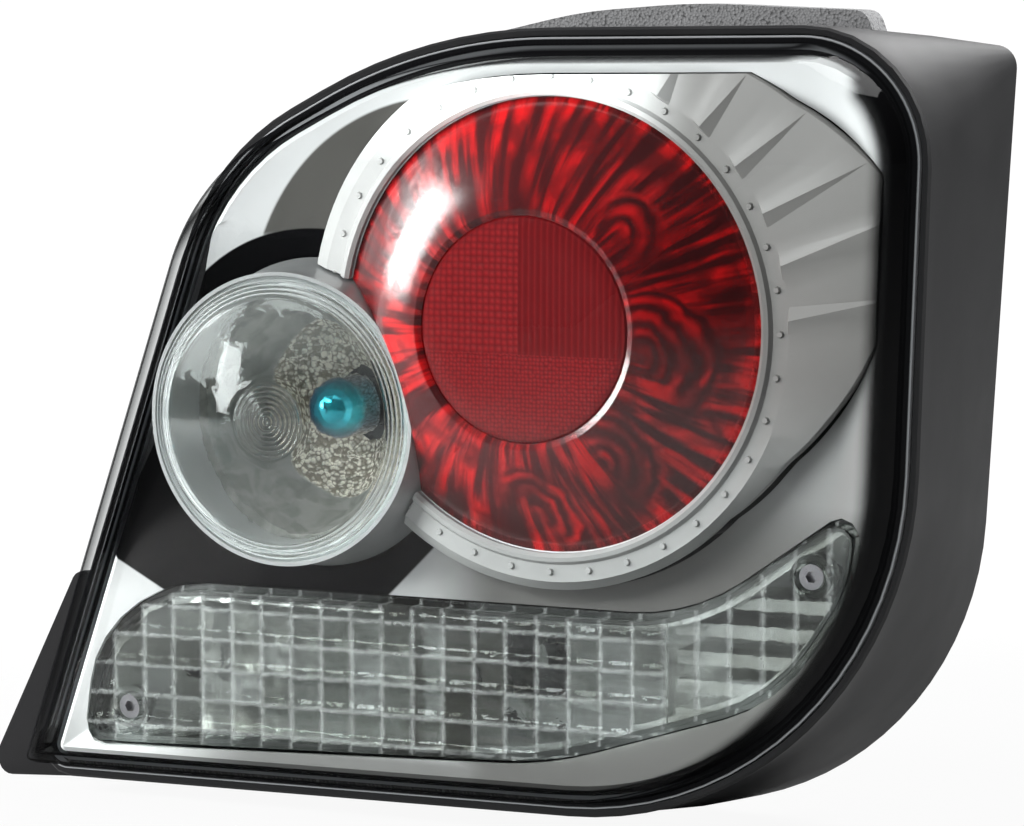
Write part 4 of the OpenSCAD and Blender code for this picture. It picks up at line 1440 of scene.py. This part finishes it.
@dataclass(frozen=True)
class Softbox:
    """A soft studio lamp, placed by its direction from the object.

    A hidden one shows in no reflection, and one with takers lights those pieces alone.
    """

    name: str
    way: Span
    distance: float
    size: Span
    power: float
    hidden: bool = False
    takers: tuple[str, ...] = ()

    def build(self, aim: Vector) -> None:
        """Adds the lamp.

        Args:
            aim: Point that it shines at.
        """
        light = bpy.data.lights.new(self.name, "AREA")
        light.shape = "RECTANGLE"
        light.size, light.size_y = self.size
        light.energy = self.power
        lamp = stood(self.name, light, self.way, aim, self.distance)
        lamp.visible_glossy = not self.hidden
        if self.takers:
            group = bpy.data.collections.new(f"{self.name}_takers")
            for piece in self.takers:
                group.objects.link(bpy.data.objects[piece])
            lamp.light_linking.receiver_collection = group


@dataclass(frozen=True)
class Studio:
    """Camera, soft lights, backdrop and floor."""

    way: Span = (26.0, 6.0)
    distance: float = 1.4
    lens: float = 157.5
    aim: Triple = (0.0, -0.083, 0.0)
    floor_gap: float = 0.0002
    floor_size: float = 12.0
    floor_glow: float = 0.93
    floor_end: Span = (260.0, 620.0)
    sky_heights: tuple[Span, Span] = ((-0.25, 0.9), (0.05, 0.34))
    sky_sides: tuple[Span, Span] = ((-0.2, 0.6), (1.0, 0.4))
    backdrop: float = 1.05
    lamps: tuple[Softbox, ...] = (
        Softbox("left_box", (-59.0, 14.0), 1.2, (0.5, 0.5), 21.0, hidden=True),
        Softbox("top_box", (-28.0, 27.0), 1.5, (0.6, 0.24), 13.5, hidden=True),
        Softbox("flare_box", (-28.0, 27.0), 1.5, (0.6, 0.24), 24.0, takers=("flared_surround",)),
        Softbox("dome_box", (-74.0, 18.0), 1.2, (0.55, 0.6), 38.0, takers=("red_dome",)),
        Softbox("cap_box", (-45.0, 4.0), 1.2, (0.15, 0.35), 2.6, takers=("indicator_cap",)),
        Softbox("fill_box", (14.0, 52.0), 1.6, (0.9, 0.7), 4.0, hidden=True),
        Softbox("right_box", (96.0, 45.0), 1.5, (0.4, 1.0), 40.0, takers=("housing_tub", "upper_foam_strip")),
        Softbox("rear_box", (165.0, 50.0), 1.6, (0.9, 0.9), 24.0),
    )

    def camera(self) -> None:
        """Adds the camera at the photograph's angle."""
        data = bpy.data.cameras.new("camera")
        data.lens = self.lens
        data.sensor_width = 36.0
        data.clip_end = 50.0
        bpy.context.scene.camera = stood("camera", data, self.way, Vector(self.aim), self.distance)

    def floor(self, height: float) -> None:
        """Adds the pale floor, which fades into the backdrop round the object.

        Args:
            height: Height of the floor in metres.
        """
        bpy.ops.object.select_all(action="DESELECT")
        bpy.ops.mesh.primitive_plane_add(size=self.floor_size, location=(0.0, 0.0, height))
        sheet = bpy.context.object
        sheet.name = "studio_floor"
        bpy.ops.object.transform_apply(location=True, rotation=True, scale=True)
        g = Graph("floor_paper")
        p = g.place()
        x, y, _ = g.split(p)
        base = g.tint(g.noise(p, 900.0, 2.0), (0.5, 0.5, 0.5), (0.54, 0.54, 0.54))
        paper = g.surface(Base_Color=base, Roughness=0.9)
        eye = g.add("ShaderNodeLightPath").outputs["Is Camera Ray"]
        lit = g.add("ShaderNodeEmission", {"Color": (1.0, 1.0, 1.0), "Strength": 1.0}).outputs[0]
        body = g.blend(g.times(eye, self.floor_glow), paper, lit)
        away = g.times(g.fade(g.reach(x, y), *self.floor_end), eye)
        sheet.data.materials.append(g.done(g.blend(away, body, g.clear((1.0, 1.0, 1.0)))))

    def sky(self) -> None:
        """Sets a white backdrop to the eye and a soft grey one, darker to the right, to everything else."""
        world = bpy.data.worlds.new("studio_world")
        bpy.context.scene.world = world
        g = Graph(world.name, world)
        x, _, z = g.split(g.add("ShaderNodeTexCoord").outputs["Generated"])
        level = g.times(g.slope(z, *self.sky_heights), g.slope(x, *self.sky_sides))
        soft = g.add("ShaderNodeBackground", {"Color": (0.97, 0.985, 1.0), "Strength": level})
        seen = g.add("ShaderNodeBackground", {"Color": (1.0, 1.0, 1.0), "Strength": self.backdrop})
        eye = g.add("ShaderNodeLightPath").outputs["Is Camera Ray"]
        g.done(g.blend(eye, soft.outputs[0], seen.outputs[0]))

    def build(self) -> None:
        """Sets up the whole studio."""
        scene = bpy.context.scene
        scene.view_settings.view_transform = "Standard"
        scene.cycles.transparent_max_bounces = 14
        scene.cycles.max_bounces = 6
        scene.cycles.diffuse_bounces = 3
        scene.cycles.glossy_bounces = 3
        self.camera()
        self.sky()
        for lamp in self.lamps:
            lamp.build(Vector(self.aim))
        self.floor(CAD_BOX[0][2] - self.floor_gap)


def main() -> None:
    """Builds every sub-assembly."""
    logging.basicConfig(level=logging.INFO, format="%(name)s: %(message)s")
    for group in (Housing(), Trim(), TailLamp(), IndicatorLamp(), ReverseLamp(), BulbSet(), Cover()):
        LOG.info("building %s", type(group).__name__)
        group.build()
    Studio().build()


if __name__ == "__main__":
    main()
